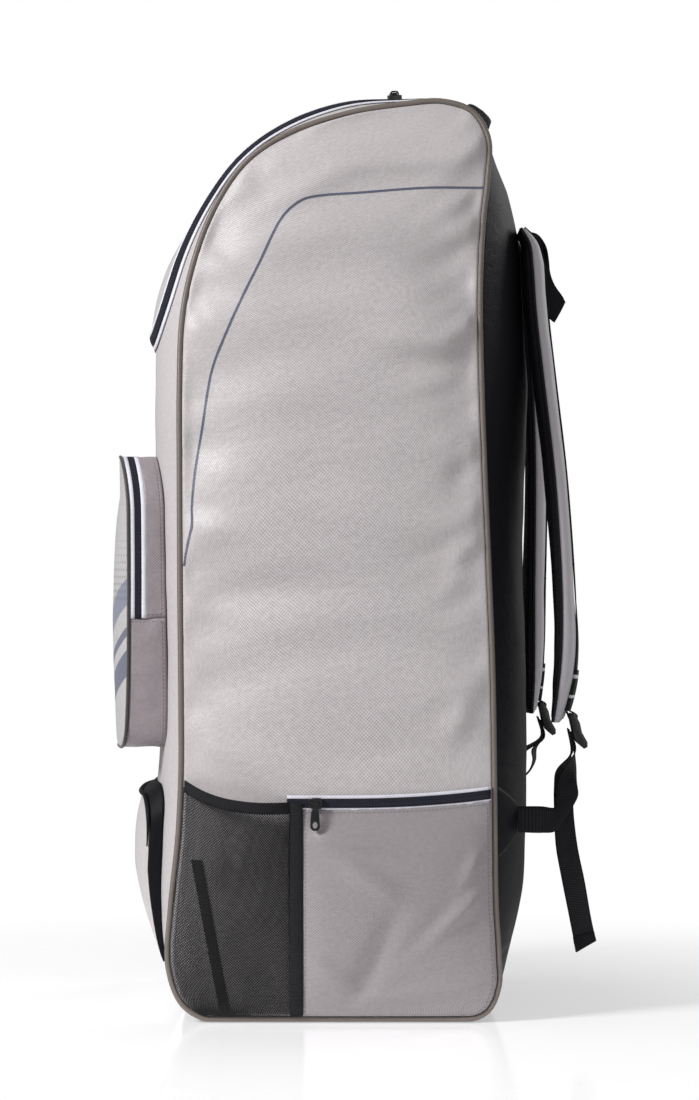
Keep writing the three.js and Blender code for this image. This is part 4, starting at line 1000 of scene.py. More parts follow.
def band_strip(name, path, columns, width, place_at, material, slot, thickness, edge=None):
    """A strip along a path. place_at(i, share) gives a point over the path's point i."""
    lengths = path_lengths(path)
    last = len(path) - 1
    cloth_piece(
        name, last, columns, lambda row, column: place_at(round(row * last), column),
        lambda row, column: (column * width, lengths[round(row * last)]), material, slot, thickness, edge=edge,
    )


def flat_strip(name, path, offset, width, lift, material, slot):
    """A slightly crowned tape that lies along a path on the band."""

    def place_at(i, share):
        beside = offset + (share - 0.5) * width
        spot = path[i] + path_side(path, i) * beside
        crown = 0.8 * (1 - (2 * share - 1) ** 2)
        return band.point(spot.y, spot.x, lift + flap_stand(spot.y, ZIP_HALF + beside) + crown)

    band_strip(name, path, 6, width, place_at, material, slot, 1.0)


def add_shell():
    for side, hand in HANDS:
        add_side_panel(side, f"side_panel_{hand}")
        add_side_piping(side, f"piping_{hand}")
    add_band_panel("front_panel", TOE, TOP_SEAM, body_cloth, "body_cloth", keep=lambda *spot: not in_flap(*spot))
    add_band_panel("main_flap", TOE, TOP_SEAM, top_cloth, "body_cloth", keep=in_flap)
    add_band_panel("top_panel", TOP_SEAM, BACK_SEAM, top_cloth, "body_cloth", step=4, calm=0.5)
    back = add_band_panel("back_panel", BACK_SEAM, KICK_SEAM, black_cloth, "black_cloth", PADDING, calm=1.3)
    add_band_panel("base_panel", KICK_SEAM, band.loop + TOE, black_cloth, "black_cloth", calm=0.0)


def add_main_zip():
    path = u_path(TOP_SEAM, MAIN_ZIP_FOOT, MAIN_ZIP_HALF, MAIN_ZIP_RADIUS)
    flat_strip("main_zip_tape", path, 0, TAPE + 2, 2.4, zip_tape, "zip_tape")
    for name, offset in (("outer", EDGE_OFFSET), ("inner", -EDGE_OFFSET)):
        flat_strip(f"main_zip_edge_{name}", path, offset, EDGE + 0.6, 1.7, zip_edge, "zip_edge")


# Front pocket

POCKET_FOOT = band.station_at(POCKET_FLOOR, TOE, CROWN)
POCKET_HEAD = band.station_at(POCKET_FLOOR + POCKET_HEIGHT, TOE, CROWN)
POCKET_SEAM = band.station_at(POCKET_FLOOR + POCKET_HEIGHT - POCKET_ZIP_FALL, TOE, CROWN)
POCKET_HALF = POCKET_WIDTH / 2


def pocket_depth(along):
    share = (along - POCKET_FOOT) / (POCKET_HEAD - POCKET_FOOT)
    return POCKET_DEPTH + POCKET_SAG * (1 - share) ** 2


def zip_lifts(along):
    """Where the pocket's zip strips begin and end over the band: outer edge, tape and inner edge."""
    front = pocket_depth(along) - POCKET_PIPING / 2 - GAP
    return front, front - EDGE - GAP, front - EDGE - TAPE - 2 * GAP, front - 2 * EDGE - TAPE - 3 * GAP


def gusset(name, path, low, high, material, slot, columns=6, sag=0.0, crown=0.0, thickness=CLOTH, stitched=False):
    """A strip that stands off the band along a path, between two lifts."""
    lengths = path_lengths(path)
    last = len(path) - 1

    def place_at(i, share):
        spot = path[i]
        lift = mix(low(spot.y), high(spot.y), share)
        loose = sag * wrinkle((lengths[i], lift, 0), 26, 6.6) + crown
        spot = spot + path_side(path, i) * (math.sin(math.pi * share) * loose)
        return band.point(spot.y, spot.x, lift)

    def edge(row, column):
        i = round(row * last)
        beside = column * (high(path[i].y) - low(path[i].y))
        ends = min(lengths[i], lengths[-1] - lengths[i])
        return (beside, lengths[i]) if beside < ends else (ends, beside)

    width = high(path[last // 2].y) - low(path[last // 2].y)
    band_strip(name, path, columns, width, place_at, material, slot, thickness, edge=edge if stitched else None)


def eased(share):
    return (1 - math.cos(math.pi * share)) / 2


def pocket_face(name, foot, head, half, foot_radius, head_radius, depth, bump, material, slot, rows, columns):
    """The front of a pocket with rounded corners, domed by bump, at a depth over the band."""

    def where(row, column):
        along = mix(foot, head, eased(row))
        wide = half - corner_cut(along - foot, foot_radius) - corner_cut(head - along, head_radius)
        return along, wide, 2 * eased(column) - 1

    def place(row, column):
        along, wide, share = where(row, column)
        hold = smooth(1 - abs(share), 0, 0.25) * smooth(min(row, 1 - row), 0, 0.12)
        rise = bump(row) * (1 - abs(share) ** FLATNESS) + crumple((wide * share, 40, along), 0.7) * hold
        return band.point(along, wide * share, depth(along) + rise)

    def tile(row, column):
        along, wide, share = where(row, column)
        return wide * share, along - foot

    cloth_piece(name, rows, columns, place, tile, material, slot)


def band_cord(name, path, thickness, lift, material, slot, loop=False, taper=0):
    """A cord along a path on the band, thinner over its first and last few points where it tapers."""
    rings = []
    for i, spot in enumerate(path):
        side = path_side(path, i)
        radius = thickness * mix(0.3, 1, smooth(min(i, len(path) - 1 - i), 0, taper)) if taper else thickness
        ring = [(spot + side * beside * radius, lift(spot.y) + up * radius) for beside, up in circle(10)]
        rings.append([band.point(place.y, place.x, height) for place, height in ring])
    tube(name, rings, material, slot, loop)


def add_front_pocket():
    top = u_path(POCKET_SEAM, POCKET_HEAD, POCKET_HALF, POCKET_HEAD_RADIUS)
    base = u_path(POCKET_SEAM, POCKET_FOOT, POCKET_HALF, POCKET_FOOT_RADIUS)
    gusset("front_pocket_gusset", top, lambda a: SEAT, lambda a: zip_lifts(a)[3] + 1, gusset_cloth, "gusset_cloth",
           columns=8, sag=2.2, stitched=True)
    gusset("front_pocket_zip_edge_inner", top, lambda a: zip_lifts(a)[3], lambda a: zip_lifts(a)[2],
           zip_edge, "zip_edge", crown=0.7, thickness=TRIM)
    gusset("front_pocket_zip_tape", top, lambda a: zip_lifts(a)[2] - 1, lambda a: zip_lifts(a)[1] + 1,
           zip_tape, "zip_tape", crown=0.3, thickness=TRIM)
    gusset("front_pocket_zip_edge_outer", top, lambda a: zip_lifts(a)[1], lambda a: zip_lifts(a)[0],
           zip_edge, "zip_edge", crown=0.7, thickness=TRIM)
    gusset("front_pocket_base_gusset", base, lambda a: SEAT, lambda a: zip_lifts(a)[0], gusset_cloth,
           "gusset_cloth", columns=12, sag=3.0, stitched=True)
    inset = POCKET_PIPING / 2
    outline = top + base[1:-1][::-1]
    band_cord("front_pocket_piping", outline, inset, pocket_depth, piping_cloth, "piping", loop=True)
    pocket_face(
        "front_pocket_face", POCKET_FOOT + inset, POCKET_HEAD - inset, POCKET_HALF - inset,
        POCKET_FOOT_RADIUS - inset, POCKET_HEAD_RADIUS - inset, lambda a: pocket_depth(a) + CLOTH / 2,
        lambda row: POCKET_DOME * math.sin(math.pi * min(eased(row) / 0.86, 1)) ** 0.7,
        add_print(), "pocket_print", 72, 56,
    )


# Lower front pocket

LOWER_FOOT = band.station_at(LOWER_FLOOR, TOE, CROWN)
LOWER_HEAD = band.station_at(LOWER_FLOOR + LOWER_HEIGHT, TOE, CROWN)
LOWER_HALF = LOWER_WIDTH / 2
LOWER_RIM = 600


def lower_depth(along):
    share = (along - LOWER_FOOT) / (LOWER_HEAD - LOWER_FOOT)
    return mix(CLOTH + SEAT, LOWER_DEPTH, clamp(2 * share, 0, 1) ** 0.8)


def add_lower_pocket():
    seam_path = u_path(LOWER_FOOT, LOWER_HEAD, LOWER_HALF, LOWER_RADIUS)
    rim_path = u_path(LOWER_FOOT, LOWER_HEAD - LOWER_LEAN, LOWER_HALF, LOWER_RADIUS)

    def sample(path, row):
        place = row * (len(path) - 1)
        before = min(int(place), len(path) - 2)
        return path[before].lerp(path[before + 1], place - before)

    def place(row, column):
        low, high = sample(seam_path, row), sample(rim_path, row)
        spot = low.lerp(high, column)
        return band.point(spot.y, spot.x, mix(SEAT, lower_depth(high.y), column))

    cloth_piece("lower_pocket_band", min(len(seam_path), len(rim_path)) - 1, 6, place,
                tiled(LOWER_DEPTH, LOWER_RIM), black_cloth, "black_cloth")
    pocket_face(
        "lower_pocket_face", LOWER_FOOT, LOWER_HEAD - LOWER_LEAN - 0.4, LOWER_HALF - 0.4, 0.01, LOWER_RADIUS,
        lambda a: lower_depth(a) + 0.2, lambda row: LOWER_DOME * math.sin(math.pi * eased(row)),
        body_cloth, "body_cloth", 50, 50,
    )
    roll = [spot for spot in rim_path if spot.y > LOWER_HEAD - LOWER_LEAN - LOWER_RADIUS - 24]
    band_cord("lower_pocket_edge", roll, LOWER_ROLL / 2, lambda a: lower_depth(a) + LOWER_ROLL / 2 - 0.6,
              black_cloth, "black_cloth", taper=9)


# Side pockets

POCKET_INSET = PIPING / 2 + 2 * GAP
SIDE_FLOOR = SEAM_REST + POCKET_INSET
TAPE_FRONT = NET_TAPE_PLACE - NET_TAPE / 2
TAPE_BACK = NET_TAPE_PLACE + NET_TAPE / 2
NET_SEAT = SEAT + TRIM


def zip_line(y):
    """The height of the side pocket's zip, which rises towards the back."""
    return SIDE_ZIP_HEIGHT + SIDE_ZIP_RISE * max(y / (DEPTH / 2), 0) ** 2.5


def inset_edge(z, back):
    """The Y of a side pocket's edge at a height, just inside the corded seam."""
    inward = -1 if back else 1
    spots = []
    for degrees in (-60, -30, 0, 30, 60):
        turn = math.radians(degrees)
        spots.append(edge_depth(z + math.sin(turn) * POCKET_INSET, back) + inward * math.cos(turn) * POCKET_INSET)
    return min(spots) if back else max(spots)


def net_top(share):
    """The height of the net's upper edge, which falls towards the zipped pocket."""
    return MESH_HEIGHT + MESH_RISE * (1 - share) ** 3


def net_point(share, z, lift):
    """A point of the side net, which stands off the panel and ripples."""
    y = mix(inset_edge(z, False), TAPE_FRONT, share)
    rise = clamp((z - SIDE_FLOOR) / (net_top(share) - SIDE_FLOOR), 0, 1)
    stand = MESH_BULGE * (1 - abs(2 * share - 1) ** 2.4) * rise**0.7
    hold = smooth(min(share, 1 - share), 0, 0.2) * smooth(rise, 0, 0.15) * (1 - 0.8 * smooth(rise, 0.86, 1.0))
    stand = max(stand + wrinkle((y * 1.5, z * 0.6, 0), 30, 4.4) * 4.2 * hold, 0.2)
    return Vector((side_face(y, z) + NET_SEAT + stand + lift, y, z))


NET_PITCH = 2.9
NET_STRAND = 1.15
NET_WIDTH = 125
NET_TAPE_LENGTH = 210
UNDER_BAND_WIDTH = 11
UNDER_BAND_TOP = 166
UNDER_BAND_LENGTH = 160


def add_net():
    """A knitted net: a grid turned to diamonds, whose edges become strands."""
    bm = bmesh.new()
    uv_layer = bm.loops.layers.uv.new("cloth")
    add_unit_grid(bm, round(MESH_HEIGHT / NET_PITCH), round(NET_WIDTH / NET_PITCH))
    squares = [edge for edge in bm.edges if not edge.is_boundary]
    bmesh.ops.poke(bm, faces=bm.faces)
    bmesh.ops.dissolve_edges(bm, edges=squares, use_verts=False)
    for face in bm.faces:
        for loop in face.loops:
            loop[uv_layer].uv = (loop.vert.co.x * NET_WIDTH * MM, loop.vert.co.y * MESH_HEIGHT * MM)
    for vert in bm.verts:
        share, row = vert.co.x, vert.co.y
        vert.co = net_point(share, mix(SIDE_FLOOR, net_top(share) - BINDING * 0.6, row), 0.4)
    piece = finish_mesh("mesh_pocket", bm, net_thread, "black_mesh")
    wire = piece.modifiers.new("strands", "WIREFRAME")
    wire.thickness = NET_STRAND * MM
    wire.use_even_offset = False


def add_side_pockets():
    add_net()

    def binding_place(row, column):
        return net_point(column, net_top(column) - BINDING * (1 - row), 1.0 + 0.7 * math.sin(math.pi * row))

    def tape_place(row, column):
        y, z = mix(TAPE_FRONT, TAPE_BACK, column), mix(SIDE_FLOOR, zip_line(NET_TAPE_PLACE), row)
        curl = 0.9 * math.sin(math.pi * column) + wrinkle((y, z, 0), 24, 9.0) * 0.7
        return Vector((side_face(y, z) + SEAT + CLOTH + 1.3 + curl, y, z))

    def band_place(row, column):
        z = mix(SIDE_FLOOR, UNDER_BAND_TOP, row)
        y = mix(-0.33, -0.42, row) * DEPTH + (column - 0.5) * UNDER_BAND_WIDTH
        return Vector((side_cloth(y, z) + 0.6 + TRIM, y, z))

    cloth_piece("mesh_pocket_binding", 4, 44, binding_place,
                lambda row, column: (row * BINDING, column * NET_WIDTH), webbing, "black_cloth")
    cloth_piece("mesh_pocket_tape", 60, 6, tape_place, tiled(NET_TAPE, NET_TAPE_LENGTH), webbing, "black_cloth")
    cloth_piece("mesh_pocket_under_band", 40, 4, band_place, tiled(UNDER_BAND_WIDTH, UNDER_BAND_LENGTH), webbing,
                "black_cloth", TRIM)
    add_cool_pocket()
    add_side_zip()


COOL_WIDTH, COOL_HEIGHT = 190, 215
GATHER_HEIGHT = 200
COOL_FOLDS = [
    (0.36, 0.115, 0.14, 0.009, 42, 0.2),
    (0.12, 0.07, 0.16, 0.014, 64, -0.16),
    (0.1, 0.16, 0.14, 0.012, -32, 0.14),
    (0.3, 0.1, 0.12, 0.012, 38, -0.12),
    (0.42, 0.17, 0.07, 0.008, 60, 0.1),
    (0.02, 0.2, 0.2, 0.01, -6, 0.1),
    (-0.04, 0.06, 0.1, 0.009, -30, 0.1),
    (0.2, 0.03, 0.2, 0.008, 8, 0.1),
]


def add_cool_pocket():
    def place(row, column):
        guess = mix(SIDE_FLOOR, SIDE_ZIP_HEIGHT, row)
        y = mix(TAPE_BACK - 1, inset_edge(guess, True), column)
        z = mix(SIDE_FLOOR, zip_line(y) - ZIP_HALF + 2, row)
        beside, below = min(column, 1 - column), min(row, 1 - row)
        stand = COOL_BULGE * (1 - abs(2 * column - 1) ** 3) * (1 - abs(2 * row - 1) ** 3)
        hold = smooth(beside, 0, 0.12) * smooth(below, 0, 0.12)
        soft = (2.2 * folds(y, z, COOL_FOLDS) + crumple((170, y, z), 2.2)) * hold
        gather = (pucker(below * GATHER_HEIGHT, y) + pucker(beside * COOL_WIDTH, z)) * smooth(column, 0, 0.1)
        return Vector((side_face(y, z) + SEAT + CLOTH + stand + soft + max(gather, -0.5), y, z))

    def edge(row, column):
        across, up = column * COOL_WIDTH, row * COOL_HEIGHT
        return min((across, up), (COOL_WIDTH * (1 - column), up), (COOL_HEIGHT * (1 - row), across))

    cloth_piece("cool_pocket", 60, 56, place, tiled(COOL_WIDTH, COOL_HEIGHT), cool_cloth, "pocket_cloth", edge=edge)


def add_side_zip():
    start, end = TAPE_FRONT - 3, inset_edge(SIDE_ZIP_HEIGHT + SIDE_ZIP_RISE, True)
    steps = len(spread(start, end, 4)) - 1
    strips = (
        ("side_zip_tape", 0, TAPE + 3, 2.4, zip_tape, "zip_tape", 0.5),
        ("side_zip_edge_upper", EDGE_OFFSET, EDGE, 1.4, zip_edge, "zip_edge", 0.6),
        ("side_zip_edge_lower", -EDGE_OFFSET, EDGE, 1.4, zip_edge, "zip_edge", 0.6),
    )
    for name, shift, width, lift, material, slot, crown in strips:
        def place(row, column, shift=shift, width=width, lift=lift, crown=crown):
            y = mix(start, end, row)
            z = zip_line(y) + shift + (column - 0.5) * width
            high = SEAT + lift + crown * (1 - (2 * column - 1) ** 2)
            return Vector((side_face(y, z) + high, y, z))

        cloth_piece(name, steps, 6, place, tiled(width, end - start), material, slot, TRIM)


# The thin line printed on the pocketed side, by pixels of the photograph.
LINE_PIXELS = [
    (487, 188), (425, 189), (362, 194), (322, 197), (306, 200), (295, 206), (282, 219), (260, 263), (243, 297),
    (225, 337), (212, 371), (202, 430), (195, 472), (192, 507), (192, 525), (187, 548), (184, 566),
]
LINE_WIDTH = 2.3
LINE_LENGTH = 800
LINE_STEPS = 240


def add_line():
    route = Spline([(*photo_point(x, y), 0) for x, y in LINE_PIXELS])

    def place(row, column):
        spot, run = route.at(row), route.run(row, 0.004)
        beside = (column - 0.5) * LINE_WIDTH
        y, z = spot.x - run.y * beside, spot.y + run.x * beside
        return Vector((side_cloth(y, z) + 0.35, y, z))

    bm = grid(LINE_STEPS, 2, place, tiled(LINE_WIDTH, LINE_LENGTH))
    face_away(bm)
    finish_mesh("printed_side_line", bm, printed_line, "pocket_print", nodes=())


# Sliders, pull tabs and buckles

MAIN_SLIDER_LIFT = 1.6


def bevel_sharp(bm, degrees, offset):
    """Rounds the edges that are sharper than an angle."""
    sharp = [edge for edge in bm.edges if edge.calc_face_angle(0) > math.radians(degrees)]
    bmesh.ops.bevel(bm, geom=sharp, offset=offset, segments=3, profile=0.5, affect="EDGES", material=-1,
                    clamp_overlap=True)


def add_moulded():
    """The CAD's hard pieces, with their edges rounded."""
    rounding = {"slider": 0.7, "pull": 0.45}
    for name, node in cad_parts.items():
        kind = next((word for word in rounding if word in name), None)
        if not kind:
            continue
        bm = bmesh.new()
        bm.from_mesh(node.data)
        bmesh.ops.scale(bm, vec=(1 / MM,) * 3, verts=bm.verts)
        bmesh.ops.remove_doubles(bm, verts=bm.verts, dist=0.02)
        bmesh.ops.dissolve_limit(bm, angle_limit=math.radians(1), verts=bm.verts, edges=bm.edges)
        bevel_sharp(bm, 35, rounding[kind])
        bmesh.ops.recalc_face_normals(bm, faces=bm.faces)
        if name.startswith("main_zip"):
            bmesh.ops.translate(bm, vec=(0, 0, MAIN_SLIDER_LIFT), verts=bm.verts)
        piece = finish_mesh(f"{name}_rounded", bm, black_plastic, "black_plastic", [name])
        edges = piece.modifiers.new("shading", "WEIGHTED_NORMAL")
        edges.keep_sharp = True


# A buckle's side rail seen from the side: outward and upward from the buckle's middle.
RAIL = [(-3.5, 18), (-1, 19), (3, 17), (5.5, 8), (5.5, -2), (9, -13), (8, -18), (4, -19), (-1.5, -12), (-3.5, -4)]
RAIL_WIDTH = 3.6
# Its bars: place upward and outward, and half sizes.
BARS = ((15.5, 0.5, 2.3, 2.3), (-1.5, 1.0, 2.8, 2.3), (-14.5, 4.5, 3.4, 2.4))


def add_buckle(side, hand):
    """A ladder-lock: two rails joined by three bars, with a lip at its lower end."""
    bm = bmesh.new()
    for end in (-1, 1):
        start = end * (BUCKLE_WIDTH / 2 - RAIL_WIDTH / 2) - RAIL_WIDTH / 2
        face = bm.faces.new([bm.verts.new((start, up, out)) for out, up in RAIL])
        grown = bmesh.ops.extrude_face_region(bm, geom=[face])["geom"]
        moved = [item for item in grown if isinstance(item, bmesh.types.BMVert)]
        bmesh.ops.translate(bm, vec=(RAIL_WIDTH, 0, 0), verts=moved)
    turn = Matrix.Rotation(math.pi / 2, 4, "Y")
    for up, out, tall, deep in BARS:
        shape = Matrix.Translation((0, up, out)) @ Matrix.Diagonal((1, tall, deep, 1)) @ turn
        bmesh.ops.create_cone(bm, cap_ends=True, segments=14, radius1=1, radius2=1,
                              depth=BUCKLE_WIDTH - RAIL_WIDTH, matrix=shape)
    bmesh.ops.recalc_face_normals(bm, faces=bm.faces)
    bevel_sharp(bm, 40, 0.7)
    axes = Matrix((BUCKLE_UP.cross(BUCKLE_OUT), BUCKLE_UP, BUCKLE_OUT)).transposed().to_4x4()
    bmesh.ops.transform(bm, matrix=Matrix.Translation(buckle_middle(side)) @ axes, verts=bm.verts)
    finish_mesh(f"strap_buckle_{hand}", bm, black_plastic, "black_plastic")


def add_buckle_loop(side, hand):
    """The tab's webbing, that runs on round the buckle's upper bar and back."""
    centre, _, out, _, fill = strap_frame(side, TAB_END - 0.004)
    front = centre + out * (COVER * fill + 0.6 + TAB / 2)
    bar = buckle_middle(side) + BUCKLE_UP * BARS[0][0]
    route = [front + BUCKLE_UP * 5, front]
    for outward, upward in ((4.2, 1), (3, -2.8), (0, -3.4), (-3, -2), (-4, 3)):
        route.append(bar + BUCKLE_OUT * outward + BUCKLE_UP * upward)
    route.append(front - BUCKLE_OUT * 3 + BUCKLE_UP * 2)
    half = Vector((WEBBING / 2, 0, 0))
    loose_webbing(f"buckle_loop_{hand}", [[spot + half, spot - half] for spot in route], steps=40, nodes=(), cup=0)


# Top handle

HANDLE_STEPS = 56


def add_handle():
    half_edge = min(HANDLE_WIDTH, SHOULDER - TOP_SEAM) / 2
    rings = []
    for i in range(HANDLE_STEPS + 1):
        share = 2 * i / HANDLE_STEPS - 1
        fold = smooth(1 - abs(share), 0.16, 0.62)
        half = mix(half_edge, HANDLE_GRIP / 2, fold)
        low = SEAT + HANDLE_RISE * fold
        high = low + mix(TRIM, HANDLE_THICKNESS, fold)
        ring = []
        for x, y in circle(20):
            beside = math.copysign(abs(x) ** 0.55, x) * half
            lift = (low + high) / 2 + math.copysign(abs(y) ** 0.6, y) * (high - low) / 2
            ring.append(band.point(SHOULDER + beside, share * HANDLE_SPAN / 2, lift))
        rings.append(ring)
    tube("top_handle", rings, webbing, "webbing")


# Shoulder straps: x from the middle, y, z, how much closer the left strap is, width, fill and turn in degrees.
STRAP = [
    (62, 194, 818, 0, 0.9, 0.3, 0),
    (62, 203, 801, 0, 0.95, 0.75, 0),
    (63, 206, 776, 0, 1, 1, 0),
    (67, 209, 730, 0, 1, 1, 0),
    (74, 217, 655, 3, 1, 1, 0),
    (84, 227, 563, 10, 1, 1, 0),
    (93, 236, 440, 21, 0.95, 1, 3),
    (96, 238, 375, 25, 0.86, 1, 8),
    (97, 235, 333, 23, 0.74, 0.8, 11),
    (97, 230, 302, 18, 0.5, 0.45, 12),
]
STRAP_LAST = len(STRAP) - 1
STRAP_STEPS = 110
STRAP_WEBBING_LENGTH = 465
TAB_LENGTH = 44
TAB_START = 7.4 / STRAP_LAST
TAB_END = 8.55 / STRAP_LAST
STRAP_LINES = {side: Spline([(side * x, y - (far if side < 0 else 0), z) for x, y, z, far, *_ in STRAP])
               for side in (1, -1)}
STRAP_FORM = Spline([(width, fill, turn) for *_, width, fill, turn in STRAP])


def strap_frame(side, share):
    """A strap at a share of its length: its middle, directions across and out, half width and fill."""
    width, fill, turn = STRAP_FORM.at(share)
    run = STRAP_LINES[side].run(share, 1e-3)
    across = (Vector((1, 0, 0)) - run * run.x).normalized()
    across = Matrix.Rotation(side * math.radians(turn), 3, run) @ across
    out = across.cross(run).normalized()
    if out.y < 0:
        out.negate()
    return STRAP_LINES[side].at(share), across, out, width * STRAP_WIDTH / 2, fill


def strap_rings(side, section):
    rings = []
    for i in range(STRAP_STEPS + 1):
        share = i / STRAP_STEPS
        centre, across, out, half, fill = strap_frame(side, share)
        rings.append([centre + across * a + out * b for a, b in section(half, fill, share)])
    return rings


def half_pad(thickness, seed):
    """A padded half of a strap: flat on the sewn line and full on the other side, pinched where it is sewn."""
    def section(half, fill, share):
        start = math.copysign(GAP / 2, thickness)
        ends = smooth(min(share, 1 - share), 0, 0.02)
        full = thickness * fill * mix(0.4, 1, ends)
        points = []
        for j in range(21):
            turn = j / 20 * math.pi
            across = math.copysign(abs(math.cos(turn)) ** 0.7, math.cos(turn))
            soft = wrinkle((across * 30, share * 520, seed), 34, seed) * 0.07
            points.append((half * across, start + full * (math.sin(turn) ** 0.6) * (1 + soft)))
        return points + [(half * side, start) for side in (-0.7, -0.35, 0, 0.35, 0.7)]
    return section


def flat_tape(name, side, thickness, start, end, material, length):
    """A tape sewn on a strap's cover between two shares of its length."""

    def place(row, column):
        centre, across, out, _, fill = strap_frame(side, mix(start, end, row))
        return centre + across * (column - 0.5) * WEBBING + out * (COVER * fill * 0.99 + 0.6 + thickness)

    cloth_piece(name, 80, 6, place, tiled(WEBBING, length), material, "webbing", thickness,
                centre=Vector((side * 80, 150, 560)))


BUCKLE_UP = Vector((0, -math.sin(math.radians(BUCKLE_LEAN)), math.cos(math.radians(BUCKLE_LEAN))))
BUCKLE_OUT = Vector((0, math.cos(math.radians(BUCKLE_LEAN)), math.sin(math.radians(BUCKLE_LEAN))))


def buckle_middle(side):
    centre, _, out, _, fill = strap_frame(side, TAB_END)
    return centre + out * (COVER * fill + 8 * GAP + BUCKLE_HEIGHT / 2) - BUCKLE_UP * (BUCKLE_LENGTH / 2 + 6 * GAP)


def behind_buckle(side, height, behind):
    """The two edges of webbing behind a buckle, at a height from its middle."""
    middle = buckle_middle(side) + BUCKLE_UP * height - BUCKLE_OUT * (BUCKLE_HEIGHT / 2 + behind)
    return [(middle.x + edge, middle.y, middle.z) for edge in (WEBBING / 2, -WEBBING / 2)]


def loose_webbing(name, route, steps=90, nodes=None, cup=0.5, start=0.0, thickness=TRIM):
    """Webbing along a given route: each row holds its two edges at one place."""
    first, second = (Spline([row[edge] for row in route]) for edge in (0, 1))
    length = path_lengths(first.points)[-1]

    def place(row, column):
        row = mix(start, 1, row)
        a, b = first.at(row), second.at(row)
        run = (first.run(row, 2e-3) + second.run(row, 2e-3)).normalized()
        return a.lerp(b, column) + (b - a).cross(run).normalized() * cup * (1 - (2 * column - 1) ** 2)

    bm = grid(steps, 6, place, tiled(WEBBING, length))
    thicken(finish_mesh(name, bm, webbing, "webbing", nodes), thickness, offset=0)


HALF_BUCKLE = BUCKLE_LENGTH / 2


def tail_start(side):
    return [behind_buckle(side, 4, 2 * TRIM + 2 * GAP), behind_buckle(side, -HALF_BUCKLE, 3 * TRIM)]


LOWER_WEBBING_RIGHT = [
    [(118, 189.6, 216), (118, 189.6, 189)],
    [(119, 214, 216), (119, 214, 188.5)],
    [(118.5, 226.5, 214.6), (118.5, 227.5, 190)],
    [(117.5, 227.5, 216), (117.5, 239, 204)],
    [(116, 228, 219), (116, 247, 216.5)],
    [(114, 229, 227), (113, 252, 227)],
    [(111, 230, 239), (108, 251, 240)],
    [(111, 238, 255), (93, 251, 256)],
    behind_buckle(1, -HALF_BUCKLE, TRIM),
    behind_buckle(1, 0, TRIM),
]
TAIL_RIGHT = tail_start(1) + [
    [(106, 230, 252), (88, 245, 252)],
    [(106, 227.5, 235), (102, 247, 235)],
    [(109, 227.5, 205), (108, 248, 205)],
    [(111, 229, 174), (110, 252, 172)],
    [(112, 235, 140), (110, 259, 138)],
    [(112, 243, 100), (109, 266, 98)],
    [(112, 250, 64), (109, 271, 75.5)],
]
LOWER_WEBBING_LEFT = [
    behind_buckle(-1, 0, TRIM),
    behind_buckle(-1, -HALF_BUCKLE, TRIM),
    [(-92, 216, 262), (-116, 222, 262)],
    [(-98, 217, 250), (-121, 221, 248)],
    [(-102, 214, 239), (-124, 215, 236)],
    [(-105, 207, 231), (-127, 206, 227)],
    [(-108, 199, 224), (-130, 195.5, 219)],
    [(-112, 191.8, 214), (-132, 186.8, 206)],
]


def back_point(x, z, lift):
    """A point over the back panel."""
    return band.point(band.station_at(z, KICK_SEAM, BACK_SEAM), x, lift)


TAIL_LEFT_PLACE = -84
TAIL_LEFT = tail_start(-1) + [
    [back_point(TAIL_LEFT_PLACE - edge, z, lift) for edge in (0, WEBBING)]
    for z, lift in ((255, 6.6), (236, 4.6), (208, 3), (180, 2.6), (140, 2.6), (105, 2.6), (72, 3.4))
]
WING_REACH, WING_HEIGHT, WING_ROOT, WING_TIP = 118, 203, 76, 30
WING_CLOTH = (50, 60)
HAUL_LOOP = [
    [(-29, 191.9, 818), (-4, 193.1, 818)],
    [(-29, 205, 822), (-4, 206, 822)],
    [(-27, 213, 822), (-3, 216, 820)],
    [(-20, 221, 812), (-3, 225, 808)],
    [(-8, 223, 793), (-3, 228.5, 792)],
    [(-2.4, 222.4, 775), (-2.2, 230, 780)],
    [(-1.6, 222.6, 762), (-1.6, 235, 765)],
    [(-1.6, 223, 748), (-1.6, 242, 755)],
    [(-1.6, 224.5, 734), (-1.6, 244.5, 751)],
    [(-1.2, 230, 729), (-1.2, 245.2, 749)],
    [(0, 234, 725.5), (0, 246, 748)],
    [(1.2, 230, 729), (1.2, 245.2, 749)],
    [(1.6, 224.5, 734), (1.6, 244.5, 751)],
    [(1.6, 223, 748), (1.6, 242, 755)],
    [(1.6, 222.6, 762), (1.6, 235, 765)],
    [(2.2, 222.2, 775), (2.4, 229, 779)],
    [(5, 217, 792), (10, 222, 794)],
    [(4, 210, 803), (22, 214, 805)],
    [(4, 203, 810), (28, 205, 811)],
    [(4, 193.9, 814), (29, 192.6, 814)],
]


def binding(edge):
    """The rolled edge of a strap, on its side of -1 or 1."""
    return lambda half, fill, share: [(edge * (half + 0.2) + x * 1.5, y * 1.8 - 0.9) for x, y in circle(8)]


def add_strap(side, hand):
    cover = tube(f"shoulder_strap_cover_{hand}", strap_rings(side, half_pad(COVER, 1.3)), strap_cloth, "strap_cloth")
    lining = tube(f"shoulder_strap_lining_{hand}", strap_rings(side, half_pad(-LINING, 2.6)), spacer_mesh,
                  "black_mesh")
    for edge in (-1, 1):
        title = "outer" if edge == side else "inner"
        tube(f"strap_binding_{title}_{hand}", strap_rings(side, binding(edge)), webbing, "webbing", nodes=())
    flat_tape(f"strap_webbing_{hand}", side, TRIM, 0.0, TAB_START, webbing, STRAP_WEBBING_LENGTH)
    flat_tape(f"strap_tab_{hand}", side, TAB, TAB_START, TAB_END, tacked_webbing, TAB_LENGTH)


